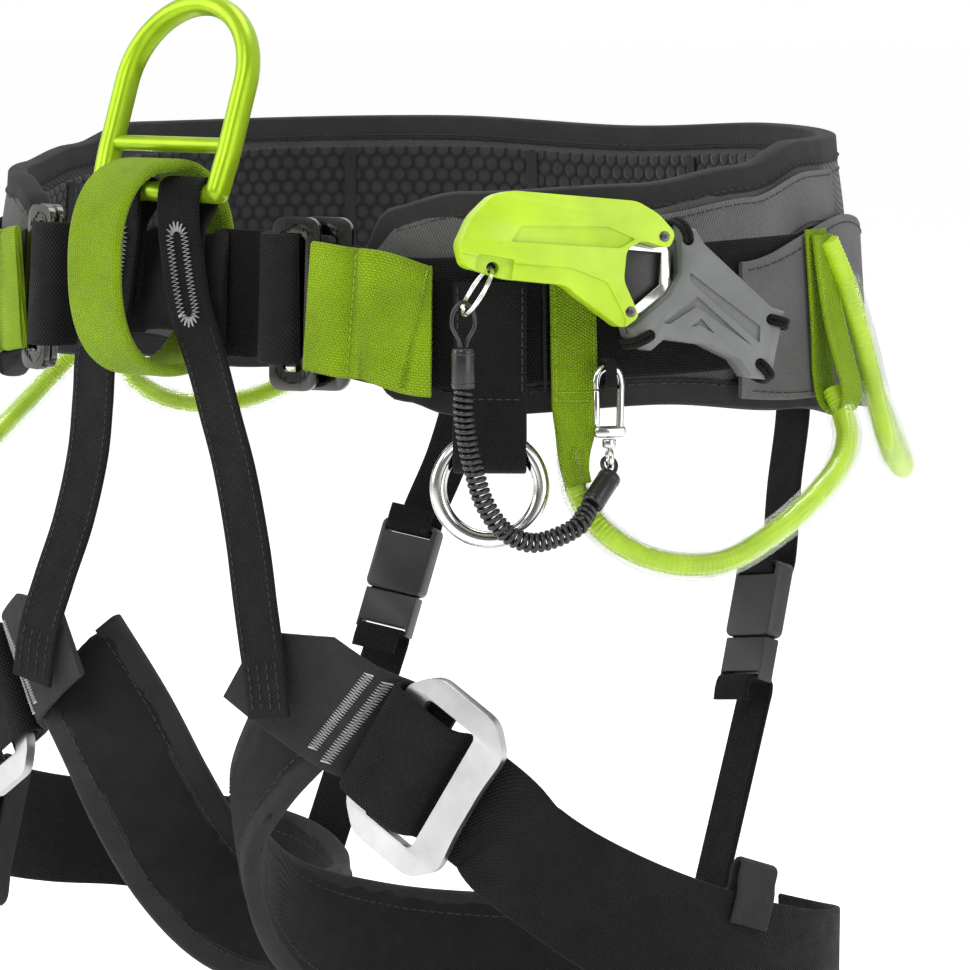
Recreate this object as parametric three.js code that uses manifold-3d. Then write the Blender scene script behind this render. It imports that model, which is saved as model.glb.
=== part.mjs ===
// Tree climbing saddle: a padded hip belt with a front tie-in ring, two leg loops, gear loops,
// and a rescue tool in a moulded sheath on the wearer's left.
// Millimetres, +Z up, the wearer faces -Y and the wearer's left is +X.
// The origin is the middle of the waist opening, level with the middle of the front webbing.
import * as THREE from 'three';
import { mergeVertices } from 'three/addons/utils/BufferGeometryUtils.js';
import Module from 'manifold-3d';

const wasm = await Module();
wasm.setup();

// ---------------------------------------------------------------- driving dimensions
const waistHalfWidth = 165;
const waistHalfDepth = 131;
const beltFlare = 0.07;
const gap = 0.3;
const webbingThickness = 2.2;
const waistWebbingWidth = 45;
const padThickness = 11;
const padFrontAngle = 28;
const riserWidth = 20;
const riserOffset = 14.6;
const ringBarY = -138;
const ringBarZ = 31;
const ringBarRadius = 3.5;
const ringTiltBack = 20;
const belayLoopWidth = 25;
const toolAngle = 58;
const toolOut = 34;
const toolTilt = 10;
const thighX = 95;
const thighY = -32;
const legWebbingWidth = 45;
const lanyardDiameter = 7.3;
const gearTubeDiameter = 11;

// ---------------------------------------------------------------- materials
function finish(color, roughness, metalness = 0) {
  return new THREE.MeshStandardMaterial({ color, roughness, metalness });
}

const blackFabric = finish(0x17181a, 0.9);
const blackWebbing = finish(0x141416, 0.85);
const meshFabric = finish(0x26282b, 0.9);
const limeWebbing = finish(0x8fd400, 0.75);
const limePlastic = finish(0xa6e000, 0.4);
const limeAnodised = finish(0x9be000, 0.3, 0.8);
const clearTube = finish(0xcfe8a0, 0.15);
const greyPlastic = finish(0x4b4f54, 0.5);
const darkPlastic = finish(0x2c2e31, 0.5);
const steel = finish(0xc9cbcd, 0.25, 1);
const darkSteel = finish(0x55524c, 0.35, 1);
const brushedAluminium = finish(0xb9bbbd, 0.35, 1);
const blackRubber = finish(0x0b0b0c, 0.35);

// ---------------------------------------------------------------- scene graph helpers
const saddle = new THREE.Group();

function add(name, geometry, material, parent = saddle) {
  const mesh = new THREE.Mesh(geometry, material);
  mesh.name = name;
  parent.add(mesh);
  return mesh;
}

function radians(degrees) {
  return THREE.MathUtils.degToRad(degrees);
}

function vector(x, y, z) {
  return new THREE.Vector3(x, y, z);
}

function sideName(side) {
  return side > 0 ? 'left' : 'right';
}

// A curve through a table of [angle, value] pairs, eased between them.
function along(table, angle) {
  const last = table[table.length - 1];
  if (angle <= table[0][0]) return table[0][1];
  if (angle >= last[0]) return last[1];
  const next = table.findIndex(([place]) => place > angle);
  const [startAngle, startValue] = table[next - 1];
  const [endAngle, endValue] = table[next];
  const share = (angle - startAngle) / (endAngle - startAngle);
  const eased = share * share * (3 - 2 * share);
  return startValue + (endValue - startValue) * eased;
}

// ---------------------------------------------------------------- solids and cuts
function positionsOnly(geometry) {
  const plain = geometry.clone();
  plain.deleteAttribute('normal');
  plain.deleteAttribute('uv');
  return mergeVertices(plain, 1e-4);
}

function toSolid(geometry) {
  const merged = positionsOnly(geometry);
  return new wasm.Manifold(new wasm.Mesh({
    numProp: 3,
    vertProperties: merged.attributes.position.array,
    triVerts: new Uint32Array(merged.index.array),
  }));
}

function toGeometry(solid) {
  const mesh = solid.getMesh();
  const geometry = new THREE.BufferGeometry();
  geometry.setAttribute('position', new THREE.BufferAttribute(mesh.vertProperties, 3));
  geometry.setIndex(new THREE.BufferAttribute(mesh.triVerts, 1));
  geometry.computeVertexNormals();
  return geometry;
}

function joined(first, ...others) {
  return toGeometry(others.reduce((solid, other) => solid.add(toSolid(other)), toSolid(first)));
}

function cut(body, ...tools) {
  return toGeometry(tools.reduce((solid, tool) => solid.subtract(toSolid(tool)), toSolid(body)));
}

// Turns a mesh that was mapped inside out back again.
function faceOutwards(geometry) {
  const solidVolume = signedVolume(geometry);
  if (solidVolume < 0) {
    const index = geometry.index.array;
    for (let i = 0; i < index.length; i += 3) {
      [index[i], index[i + 1]] = [index[i + 1], index[i]];
    }
  }
  geometry.computeVertexNormals();
  return geometry;
}

function signedVolume(geometry) {
  const position = geometry.attributes.position;
  const index = geometry.index.array;
  const [a, b, c] = [vector(0, 0, 0), vector(0, 0, 0), vector(0, 0, 0)];
  let volume = 0;
  for (let i = 0; i < index.length; i += 3) {
    a.fromBufferAttribute(position, index[i]);
    b.fromBufferAttribute(position, index[i + 1]);
    c.fromBufferAttribute(position, index[i + 2]);
    volume += a.dot(b.cross(c)) / 6;
  }
  return volume;
}

// A box bent into any shape: place(u, v, w) gives the point for each share of its length,
// thickness and height.
function bentBox(steps, layers, rows, place) {
  const geometry = positionsOnly(new THREE.BoxGeometry(1, 1, 1, steps, layers, rows));
  const position = geometry.attributes.position;
  for (let i = 0; i < position.count; i += 1) {
    const point = place(position.getX(i) + 0.5, position.getY(i) + 0.5, position.getZ(i) + 0.5);
    position.setXYZ(i, point.x, point.y, point.z);
  }
  return faceOutwards(geometry);
}

// ---------------------------------------------------------------- places round the belt
// Angles run from the front round to the wearer's left. "out" is the distance from the body.
function beltPoint(angle, out, z) {
  const reach = out - beltFlare * z;
  const turn = radians(angle);
  return vector((waistHalfWidth + reach) * Math.sin(turn), -(waistHalfDepth + reach) * Math.cos(turn), z);
}

// A group on the belt: its X runs round the belt, its -Y faces out and its Z is up.
function beltSite(angle, out, z) {
  const site = new THREE.Group();
  site.position.copy(beltPoint(angle, out, z));
  const turn = radians(angle);
  const tangentX = (waistHalfWidth + out) * Math.cos(turn);
  const tangentY = (waistHalfDepth + out) * Math.sin(turn);
  site.rotation.order = 'ZYX';
  site.rotation.z = Math.atan2(tangentY, tangentX);
  site.rotation.x = -Math.atan(beltFlare);
  saddle.add(site);
  return site;
}

// Height of the middle of the waist webbing, the same on both sides of the body.
const webbingLine = [[0, 0], [10, -1], [22, -6], [35, -12], [60, -8], [90, -6], [180, -6]];

function webbingHeight(angle) {
  return along(webbingLine, foldedAngle(angle));
}

// The same angle on the wearer's left, whichever side it is on.
function foldedAngle(angle) {
  return Math.abs(angle > 180 ? 360 - angle : angle);
}

// A panel that lies round the belt between two angles.
function beltPanel({ from, to, bottom, top, inner, outer, steps, rows = 1 }) {
  return bentBox(steps, 1, rows, (u, v, w) => {
    const angle = from + (to - from) * u;
    const low = bottom(angle);
    const high = top(angle);
    return beltPoint(angle, inner + (outer - inner) * v, low + (high - low) * w);
  });
}

// A flat strap along a path. widthways(point, tangent, u) gives the direction of its width.
// A crown above 0 makes it a pad that thins towards its edges.
function ribbon(points, { width, thickness, widthways, steps, rows = 1, crown = 0 }) {
  const curve = new THREE.CatmullRomCurve3(points, false, 'centripetal');
  return bentBox(steps, 1, rows, (u, v, w) => {
    const point = curve.getPoint(u);
    const tangent = curve.getTangent(u);
    const across = widthways(point, tangent, u).clone();
    across.addScaledVector(tangent, -across.dot(tangent)).normalize();
    const normal = across.clone().cross(tangent).normalize();
    const thinning = 1 - crown * Math.abs(2 * w - 1) ** 2.4;
    point.addScaledVector(across, (w - 0.5) * width);
    return point.addScaledVector(normal, (v - 0.5) * thickness * thinning);
  });
}

function roundSection(diameter, sides) {
  const shape = new THREE.Shape();
  for (let i = 0; i < sides; i += 1) {
    const turn = (i / sides) * Math.PI * 2;
    const [x, y] = [Math.cos(turn) * diameter / 2, Math.sin(turn) * diameter / 2];
    if (i === 0) shape.moveTo(x, y);
    else shape.lineTo(x, y);
  }
  shape.closePath();
  return shape;
}

function tube(points, diameter, { sides = 8, steps = 24, bore = 0, closed = false } = {}) {
  const path = new THREE.CatmullRomCurve3(points, closed, 'centripetal');
  const section = roundSection(diameter, sides);
  if (bore > 0) section.holes.push(roundSection(bore, sides));
  return new THREE.ExtrudeGeometry(section, { extrudePath: path, steps, bevelEnabled: false });
}

// A plate in the local XZ plane, as thick as depth and centred on Y = 0.
function plate(shape, depth, bevel = 0, curveSegments = 8) {
  const geometry = new THREE.ExtrudeGeometry(shape, {
    depth: depth - 2 * bevel,
    bevelEnabled: bevel > 0,
    bevelThickness: bevel,
    bevelSize: bevel,
    bevelOffset: -bevel,
    bevelSegments: 2,
    curveSegments,
  });
  geometry.translate(0, 0, -(depth - 2 * bevel) / 2);
  geometry.rotateX(Math.PI / 2);
  return geometry;
}

function outline(points) {
  return new THREE.Shape(points.map(([x, z]) => new THREE.Vector2(x, z)));
}

function roundedRectangle(width, height, radius, Kind = THREE.Shape) {
  const [x, y] = [width / 2, height / 2];
  const shape = new Kind();
  shape.moveTo(-x + radius, -y);
  shape.lineTo(x - radius, -y);
  shape.absarc(x - radius, -y + radius, radius, -Math.PI / 2, 0);
  shape.lineTo(x, y - radius);
  shape.absarc(x - radius, y - radius, radius, 0, Math.PI / 2);
  shape.lineTo(-x + radius, y);
  shape.absarc(-x + radius, y - radius, radius, Math.PI / 2, Math.PI);
  shape.lineTo(-x, -y + radius);
  shape.absarc(-x + radius, -y + radius, radius, Math.PI, Math.PI * 1.5);
  return shape;
}

function rod(start, end, radius, sides = 12) {
  const direction = end.clone().sub(start);
  const geometry = new THREE.CylinderGeometry(radius, radius, direction.length(), sides);
  const turn = new THREE.Quaternion().setFromUnitVectors(vector(0, 1, 0), direction.normalize());
  geometry.applyQuaternion(turn);
  const middle = start.clone().add(end).multiplyScalar(0.5);
  return geometry.translate(middle.x, middle.y, middle.z);
}

// A section drawn as (y, z) and run along X, centred on X = 0.
function slab(section, width, curveSegments = 6) {
  const geometry = new THREE.ExtrudeGeometry(section, {
    depth: width, bevelEnabled: false, curveSegments,
  });
  geometry.translate(0, 0, -width / 2);
  const basis = new THREE.Matrix4();
  return geometry.applyMatrix4(basis.makeBasis(vector(0, 1, 0), vector(0, 0, 1), vector(1, 0, 0)));
}

function boxAt(width, depth, height, x, y, z) {
  return new THREE.BoxGeometry(width, depth, height).translate(x, y, z);
}

// ---------------------------------------------------------------- hip belt
const padTopLine = [[28, 14], [32, 27], [40, 32], [64, 34.5], [82, 40], [96, 48], [150, 50], [180, 47]];
const padBottomLine = [[28, -22], [32, -37], [40, -43], [66, -40], [90, -45], [120, -54], [180, -60]];

function padTop(angle) {
  return along(padTopLine, foldedAngle(angle));
}

function padBottom(angle) {
  return along(padBottomLine, foldedAngle(angle));
}

function makeHipBelt() {
  const wholeRound = { from: padFrontAngle, to: 360 - padFrontAngle };
  const pad = bentBox(64, 1, 4, (u, v, w) => {
    const angle = wholeRound.from + (wholeRound.to - wholeRound.from) * u;
    const crown = 1 - Math.abs(2 * w - 1) ** 3;
    const half = padThickness * (0.28 + 0.22 * crown);
    const z = padBottom(angle) + (padTop(angle) - padBottom(angle)) * w;
    return beltPoint(angle, padThickness / 2 - 1 + (v * 2 - 1) * half, z);
  });
  add('hip_pad', pad, blackFabric);

  add('pad_lining', beltPanel({
    from: 58,
    to: 302,
    bottom: (angle) => padBottom(angle) + 14,
    top: (angle) => padTop(angle) - 14,
    inner: -3.6,
    outer: -1.3,
    steps: 48,
  }), meshFabric);

  add('rear_belt_webbing', beltPanel({
    from: 24.5,
    to: 335.5,
    bottom: (angle) => webbingHeight(angle) - waistWebbingWidth / 2,
    top: (angle) => webbingHeight(angle) + waistWebbingWidth / 2,
    inner: 10.4,
    outer: 10.4 + webbingThickness,
    steps: 64,
  }), blackWebbing);

  for (const side of [1, -1]) {
    add(`side_panel_${sideName(side)}`, beltPanel({
      from: 78 * side,
      to: 128 * side,
      bottom: (angle) => padBottom(Math.abs(angle)) + 3,
      top: (angle) => along([[78, 8], [104, 22], [128, 14]], Math.abs(angle)),
      inner: 13,
      outer: 15.2,
      steps: 16,
    }), meshFabric);
  }
}

// ---------------------------------------------------------------- waist closure
const plateHeight = 60;
const frontPlateOut = 14.4;
const rearPlateOut = 7.4;

function bucklePlate(width) {
  const shape = roundedRectangle(width, plateHeight, 5);
  const window = roundedRectangle(width * 0.42, waistWebbingWidth + 2, 2, THREE.Path);
  shape.holes.push(window);
  return plate(shape, 2.4, 0, 3);
}

// Front webbing: out of the bridge, then over the front bar of the buckle and into its window.
function frontWebbing(side) {
  const route = [
    [7.5, -0.2], [11, -0.2], [14, 0.2], [15.6, 3.5], [16, 9], [16.5, 14.6], [18, 17.7],
    [19.8, 18.2], [20.9, 17], [21.1, 14.8],
  ];
  const middle = webbingHeight(17);
  const points = route.map(([angle, out]) => beltPoint(angle * side, out, middle));
  return ribbon(points, {
    width: waistWebbingWidth,
    thickness: webbingThickness - 0.6,
    widthways: () => beltPoint(17 * side, 0, 1).sub(beltPoint(17 * side, 0, 0)),
    steps: 36,
  });
}

function waistTab(side) {
  return beltPanel({
    from: 22.9 * side,
    to: 37.2 * side,
    bottom: (angle) => along([[22, -28.5], [29, -31], [37, -36.5]], Math.abs(angle)),
    top: (angle) => along([[22, 16.5], [29, 14.2], [37, 8.5]], Math.abs(angle)),
    inner: 16.6,
    outer: 20,
    steps: 8,
  });
}

function makeWaistClosure() {
  for (const side of [1, -1]) {
    const label = sideName(side);
    add(`front_webbing_${label}`, frontWebbing(side), blackWebbing);
    const frontPlace = beltSite(20.8 * side, frontPlateOut, webbingHeight(21));
    add(`buckle_front_plate_${label}`, bucklePlate(18), darkSteel, frontPlace);
    const rearPlace = beltSite(23.6 * side, rearPlateOut, webbingHeight(23));
    add(`buckle_rear_plate_${label}`, bucklePlate(20), darkSteel, rearPlace);
    add(`waist_tab_${label}`, waistTab(side), limeWebbing);
  }
}

// ---------------------------------------------------------------- front bridge, risers and rings
function makeFrontBridge() {
  const reach = 9.5;
  const bridge = bentBox(12, 1, 6, (u, v, w) => {
    const angle = (u - 0.5) * 2 * reach;
    const arch = 5 * Math.cos((u - 0.5) * Math.PI);
    const z = -24 + arch + (42 - arch) * w;
    const round = 1 - Math.abs(2 * w - 1) ** 3;
    return beltPoint(angle, v < 0.5 ? 2.6 + 4.4 * round : 1.1, z);
  });
  add('front_bridge', bridge, blackFabric);
}

// The riser starts behind the ring's bar, turns over it and runs down to the leg loop.
function riser(side) {
  const x = riserOffset;
  const turn = ringBarRadius + 1.4;
  const points = [
    vector(x + 3, -141, -8), vector(x, -141, 10), vector(x, -139.6, 19),
    vector(x, ringBarY + turn - 1, ringBarZ - 5), vector(x, ringBarY + turn, ringBarZ),
    vector(x, ringBarY + turn * 0.7, ringBarZ + turn * 0.7), vector(x, ringBarY, ringBarZ + turn),
    vector(x, ringBarY - turn * 0.7, ringBarZ + turn * 0.7), vector(x, ringBarY - turn, ringBarZ),
    vector(x, -143.1, 19), vector(x + 2, -143.2, 6), vector(x + 5, -143.2, -8),
    vector(x + 13, -143, -28), vector(x + 17, -141, -45), vector(x + 22, -139, -65),
    vector(x + 29, -140, -90), vector(x + 36, -143.4, -112), vector(x + 42, -146, -132),
    vector(x + 45, -146.5, -150),
  ];
  return ribbon(points.map((point) => vector(point.x * side, point.y, point.z)), {
    width: riserWidth,
    thickness: 1.7,
    widthways: () => vector(1, 0, 0),
    steps: 60,
  });
}

const ringOuterRadius = 33;
const ringBand = 7.4;
const ringArcHeight = 40.5;
const ringThickness = 9;
const ringMidBarHeight = 17.6;

// A horseshoe in the local XZ plane, joined by a bottom bar on the local X axis and a middle bar.
function tieInRing() {
  const inner = ringOuterRadius - ringBand;
  const horseshoe = new THREE.Shape();
  const tip = ringBand / 2;
  horseshoe.moveTo(-ringOuterRadius, 0);
  horseshoe.lineTo(-ringOuterRadius, ringArcHeight);
  horseshoe.absarc(0, ringArcHeight, ringOuterRadius, Math.PI, 0, true);
  horseshoe.lineTo(ringOuterRadius - 1, 0);
  horseshoe.absarc(ringOuterRadius - 1 - tip, 0, tip, 0, -Math.PI, true);
  horseshoe.lineTo(inner, ringArcHeight);
  horseshoe.absarc(0, ringArcHeight, inner, 0, Math.PI, false);
  horseshoe.lineTo(-inner + 1, 0);
  horseshoe.absarc(-ringOuterRadius + 1 + tip, 0, tip, 0, -Math.PI, true);
  const frame = plate(horseshoe, ringThickness, 2, 10);
  const reach = inner + tip;
  const bottomBar = rod(vector(-reach, 0, 0), vector(reach, 0, 0), ringBarRadius);
  const middle = ringMidBarHeight;
  const middleBar = rod(vector(-reach, 0, middle), vector(reach, 0, middle), 2.8);
  return joined(frame, bottomBar, middleBar);
}

// A flattened loop of webbing in the YZ plane, round the ring's bar and the front bridge.
function belayLoop() {
  const [depth, height, thickness] = [62, 77, 4.4];
  const centre = { y: -141.5, z: 4.5 };
  const ring = (shrink, Kind) => {
    const shape = new Kind();
    const count = 40;
    for (let i = 0; i <= count; i += 1) {
      const turn = (i / count) * Math.PI * 2;
      const bulge = (value) => Math.sign(value) * Math.abs(value) ** 0.84;
      const y = centre.y + (depth / 2 - shrink) * bulge(Math.cos(turn));
      const z = centre.z + (height / 2 - shrink) * bulge(Math.sin(turn));
      if (i === 0) shape.moveTo(y, z);
      else if (i < count) shape.lineTo(y, z);
    }
    shape.closePath();
    return shape;
  };
  const shape = ring(0, THREE.Shape);
  shape.holes.push(ring(thickness, THREE.Path));
  return slab(shape, belayLoopWidth);
}

function makeFront() {
  makeFrontBridge();
  for (const side of [1, -1]) {
    add(`riser_${sideName(side)}`, riser(side), blackWebbing);
  }
  const ringPlace = new THREE.Group();
  ringPlace.position.set(0, ringBarY, ringBarZ);
  ringPlace.rotation.x = -radians(ringTiltBack);
  saddle.add(ringPlace);
  add('tie_in_ring', tieInRing(), limeAnodised, ringPlace);
  add('belay_loop', belayLoop(), limeWebbing);
}

// ---------------------------------------------------------------- side rings and gear loops
const hangerAngle = 44;
const hangerOut = 17.6;
const hangerWidth = 25;
const steelRingRadius = 17.6;
const steelRingWire = 5.8;
const hangerPocket = 9.6;

// The hanger is sewn to the belt at the top and folds round the steel ring at the bottom.
function ringHanger() {
  const layer = 1.6;
  const room = hangerPocket / 2;
  const half = room + layer;
  const fold = -56;
  const section = new THREE.Shape();
  section.moveTo(half, fold);
  section.lineTo(half, fold + 7);
  section.lineTo(layer + 0.4, fold + 16);
  section.lineTo(layer + 0.4, 4);
  section.lineTo(0, 4);
  section.lineTo(0, fold + 16);
  section.lineTo(-half, fold + 7);
  section.lineTo(-half, fold);
  section.absarc(0, fold, half, Math.PI, Math.PI * 2, false);
  const pocket = new THREE.Path();
  pocket.moveTo(room, fold);
  pocket.lineTo(room, fold + 6);
  pocket.lineTo(0, fold + 12);
  pocket.lineTo(-room, fold + 6);
  pocket.lineTo(-room, fold);
  pocket.absarc(0, fold, room, Math.PI, Math.PI * 2, false);
  section.holes.push(pocket);
  return slab(section, hangerWidth);
}

function makeSideRings() {
  for (const side of [1, -1]) {
    const label = sideName(side);
    const place = beltSite(hangerAngle * side, hangerOut, 0);
    add(`ring_hanger_${label}`, ringHanger(), blackWebbing, place);
    const ring = new THREE.TorusGeometry(steelRingRadius, steelRingWire / 2, 8, 26);
    ring.rotateX(Math.PI / 2);
    ring.translate(0, 0, -67.4);
    add(`steel_ring_${label}`, ring, steel, place);
  }
}

// Front gear loop: a wide lime tape down the pad, then a lime core in a clear tube.
function gearLoopTape(side) {
  return beltPanel({
    from: 51.4 * side,
    to: 57.2 * side,
    bottom: () => -44,
    top: () => 12,
    inner: 12.9,
    outer: 15.1,
    steps: 4,
    rows: 4,
  });
}

const frontGearRoute = [
  [53.4, 15, -47], [53.4, 17, -55], [53.8, 19, -68], [56, 22.5, -80], [60, 27, -89],
  [65, 31, -93], [70, 33, -92], [76, 34, -84], [82, 34, -74], [88, 33, -62], [91, 30, -53],
  [92.6, 25, -46], [93.4, 20.5, -39],
];
const rearGearRoute = [
  [93.8, 21, 14], [96, 23.5, 0], [98.5, 26, -22], [101, 27.5, -44], [104, 28, -60],
  [110, 27.5, -70], [118, 26, -72], [125, 24, -66], [131, 22, -54], [134, 20.5, -40],
];

function gearRoute(route, side) {
  return route.map(([angle, out, z]) => beltPoint(angle * side, out, z));
}

function makeGearLoops() {
  for (const side of [1, -1]) {
    const label = sideName(side);
    add(`gear_loop_tape_${label}`, gearLoopTape(side), limeWebbing);
    const front = gearRoute(frontGearRoute, side);
    const wall = { sides: 8, steps: 28 };
    add(`front_gear_core_${label}`, tube(front, 6, wall), limeWebbing);
    const sleeve = tube(front.slice(1, -1), gearTubeDiameter, { ...wall, bore: 8.4 });
    add(`front_gear_tube_${label}`, sleeve, clearTube);
    const rear = gearRoute(rearGearRoute, side);
    add(`rear_gear_loop_${label}`, tube(rear, gearTubeDiameter, { sides: 8, steps: 24 }), limeWebbing);
  }
}

// ---------------------------------------------------------------- rescue tool and sheath
// The tool group's X runs along the tool into the sheath, and its -Y faces out.
const toolPlace = beltSite(toolAngle, toolOut, 8);
toolPlace.rotation.y = radians(toolTilt);
const keyringHole = { x: -46, y: -4, z: -7 };
const bladeDepth = 4.2;
const bladeThickness = 2.4;

function toolHandle() {
  const shape = outline([
    [-59, -1], [-56, 9], [-50, 17], [-44, 19.5], [-1, 23], [7, 20], [14, 14.5], [12.6, 9],
    [3, 10.4], [-2, 6.4], [-1.4, -4], [6, -15], [1, -20], [-15, -12], [-21, -8.6], [-42, -10],
    [-56, -8],
  ]);
  const body = plate(shape, 11, 2.2).translate(0, keyringHole.y, 0);
  const { x, y, z } = keyringHole;
  const hole = rod(vector(x, y - 20, z), vector(x, y + 20, z), 2.2);
  const outerRecess = boxAt(13, 8, 12, x, y - 6.4, z - 2);
  const innerRecess = boxAt(13, 8, 12, x, y + 6.4, z - 2);
  return cut(body, hole, outerRecess, innerRecess);
}

// A finger ring behind the crook of the handle, and a tongue that goes into the sheath.
function toolBlade() {
  const shape = outline([
    [-6, 10], [13, 12], [17, 9], [18, 0], [20, -2.5], [46, -2.5],
    [46, -11.5], [20, -12.5], [14, -12], [6, -17.5],
    [-5, -15],
  ]);
  shape.holes.push(new THREE.Path([
    [1.5, 7], [0.5, -8], [5.5, -13], [14.6, -3], [13.6, 8],
  ].map(([x, z]) => new THREE.Vector2(x, z))));
  return plate(shape, bladeThickness).translate(0, bladeDepth, 0);
}

const eyelets = [[20.6, 13.5], [54, -8.5], [52.5, -24], [12.4, -20.5]];
const sheathFront = -3;
const sheathBack = 15;

function toolSheath() {
  const shape = outline([
    [17, 17.5], [23, 17.5], [27, 13], [54, -4.5], [58.5, -5], [57.5, -29], [50, -29], [45, -24],
    [33, -20.5], [18, -21], [14, -25.5], [8, -24], [5.4, -19], [17, -6], [20, 2],
  ]);
  const depth = sheathBack - sheathFront;
  const body = plate(shape, depth, 2).translate(0, (sheathFront + sheathBack) / 2, 0);
  const slotDepth = bladeThickness + 1;
  const tongueSlot = boxAt(32, slotDepth, 11.4, 34, bladeDepth, -7);
  const ringSlot = boxAt(22, slotDepth, 34, 9, bladeDepth, -4);
  const latchRoom = boxAt(20, 9, 40, 8.5, 10.6, 2);
  const holes = eyelets.map(([x, z]) => rod(vector(x, -20, z), vector(x, 30, z), 2, 10));
  return cut(body, tongueSlot, ringSlot, latchRoom, ...holes);
}

// The springy tongue behind the finger ring, hinged to the sheath at its right end.
function sheathLatch() {
  const shape = outline([
    [0.6, 9.5], [16.4, 9.2], [18, 3], [16, -4.6], [6, -14.6], [2, -12.5],
  ]);
  return plate(shape, 4.2, 0.8).translate(0, 8.6, 0);
}

// A lashing cord goes through two eyelets and behind the sheath.
function sheathCord([firstX, firstZ], [lastX, lastZ]) {
  const bend = sheathBack + 1;
  const behind = sheathBack + 3;
  const [stepX, stepZ] = [(lastX - firstX) * 0.12, (lastZ - firstZ) * 0.12];
  return tube([
    vector(firstX, sheathFront - 2.2, firstZ), vector(firstX, 4, firstZ),
    vector(firstX, bend, firstZ), vector(firstX + stepX, behind, firstZ + stepZ),
    vector(lastX - stepX, behind, lastZ - stepZ), vector(lastX, bend, lastZ),
    vector(lastX, 4, lastZ), vector(lastX, sheathFront - 2.2, lastZ),
  ], 2.8, { steps: 20 });
}

const splitRingRadius = 9.1;
const splitRingLean = radians(-22);

// The split ring hangs from the keyring hole, in a plane square to the handle.
function splitRing() {
  const ring = new THREE.TorusGeometry(splitRingRadius, 0.9, 8, 24);
  ring.rotateY(Math.PI / 2);
  ring.translate(0, 0, -splitRingRadius);
  ring.rotateY(-splitRingLean);
  return ring.translate(keyringHole.x, keyringHole.y, keyringHole.z);
}

function makeTool() {
  add('tool_handle', toolHandle(), limePlastic, toolPlace);
  add('tool_blade', toolBlade(), steel, toolPlace);
  add('tool_sheath', toolSheath(), greyPlastic, toolPlace);
  add('sheath_latch', sheathLatch(), darkPlastic, toolPlace);
  add('sheath_cord_front', sheathCord(eyelets[0], eyelets[3]), blackRubber, toolPlace);
  add('sheath_cord_rear', sheathCord(eyelets[1], eyelets[2]), blackRubber, toolPlace);
  add('split_ring', splitRing(), steel, toolPlace);
}

// ---------------------------------------------------------------- coiled lanyard and snap hook
const hookAngle = 57.6;
const hookOut = 22;

const hookPlace = beltSite(hookAngle, hookOut, 0);
hookPlace.updateMatrixWorld(true);
const hookEyeZ = -56.8;
const lowerFerrule = [vector(-8, -11, -72), vector(0.4, -4.2, -62.6)].map(
  (point) => hookPlace.localToWorld(point),
);

const lanyardRoute = [
  vector(139, -135.3, -31), vector(139, -135.3, -37), vector(138.8, -133.6, -46),
  vector(139.8, -131, -58), vector(142, -127.8, -70), vector(146.6, -122.8, -79.4),
  vector(153, -115.8, -83.4), ...[10, 4, gap].map((before) => {
    const [start, end] = lowerFerrule;
    return start.clone().addScaledVector(end.clone().sub(start).normalize(), -before);
  }),
];

// A crimped ferrule with the end of the cable looped back into it.
function cableEnd(start, end, far, halfWidth, across) {
  const ferrule = rod(start, end, lanyardDiameter / 2 + 0.3, 12);
  const inside = end.clone().lerp(start, 0.15);
  const loopPoint = (share, sideways) => end.clone().lerp(far, share)
    .addScaledVector(across, sideways);
  const half = [[0.12, 1.2], [0.5, halfWidth], [0.86, halfWidth * 0.7]];
  const loop = tube([
    inside.clone().addScaledVector(across, 0.9),
    ...half.map(([share, sideways]) => loopPoint(share, sideways)), far,
    ...half.reverse().map(([share, sideways]) => loopPoint(share, -sideways)),
    inside.clone().addScaledVector(across, -0.9),
  ], 1.3, { sides: 6, steps: 16 });
  return joined(ferrule, loop);
}

function makeLanyard() {
  saddle.updateMatrixWorld(true);
  const first = lanyardRoute[0];
  const toolAcross = vector(1, 0, 0).transformDirection(toolPlace.matrixWorld);
  const upperStart = first.clone().add(vector(0, 0, gap));
  const upperEnd = first.clone().add(vector(0, 0, 14));
  const upperFar = first.clone().add(vector(0, 0, 29.5));
  add('lanyard_end_upper', cableEnd(upperStart, upperEnd, upperFar, 4.4, toolAcross), blackRubber);
  add('lanyard_coil', tube(lanyardRoute, lanyardDiameter, { sides: 10, steps: 28 }), blackRubber);
  const hookAcross = vector(1, 0, 0).transformDirection(hookPlace.matrixWorld);
  const [lowerStart, lowerEnd] = lowerFerrule;
  const eye = hookPlace.localToWorld(vector(0, 0, hookEyeZ));
  add('lanyard_end_lower', cableEnd(lowerStart, lowerEnd, eye, 2.6, hookAcross), blackRubber);
}

// A small snap hook that hangs upside down from a webbing loop on the belt.
const hookTop = -26;
const hookBend = 4.2;
const hookWire = 2.6;
const hookBase = -47;

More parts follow.
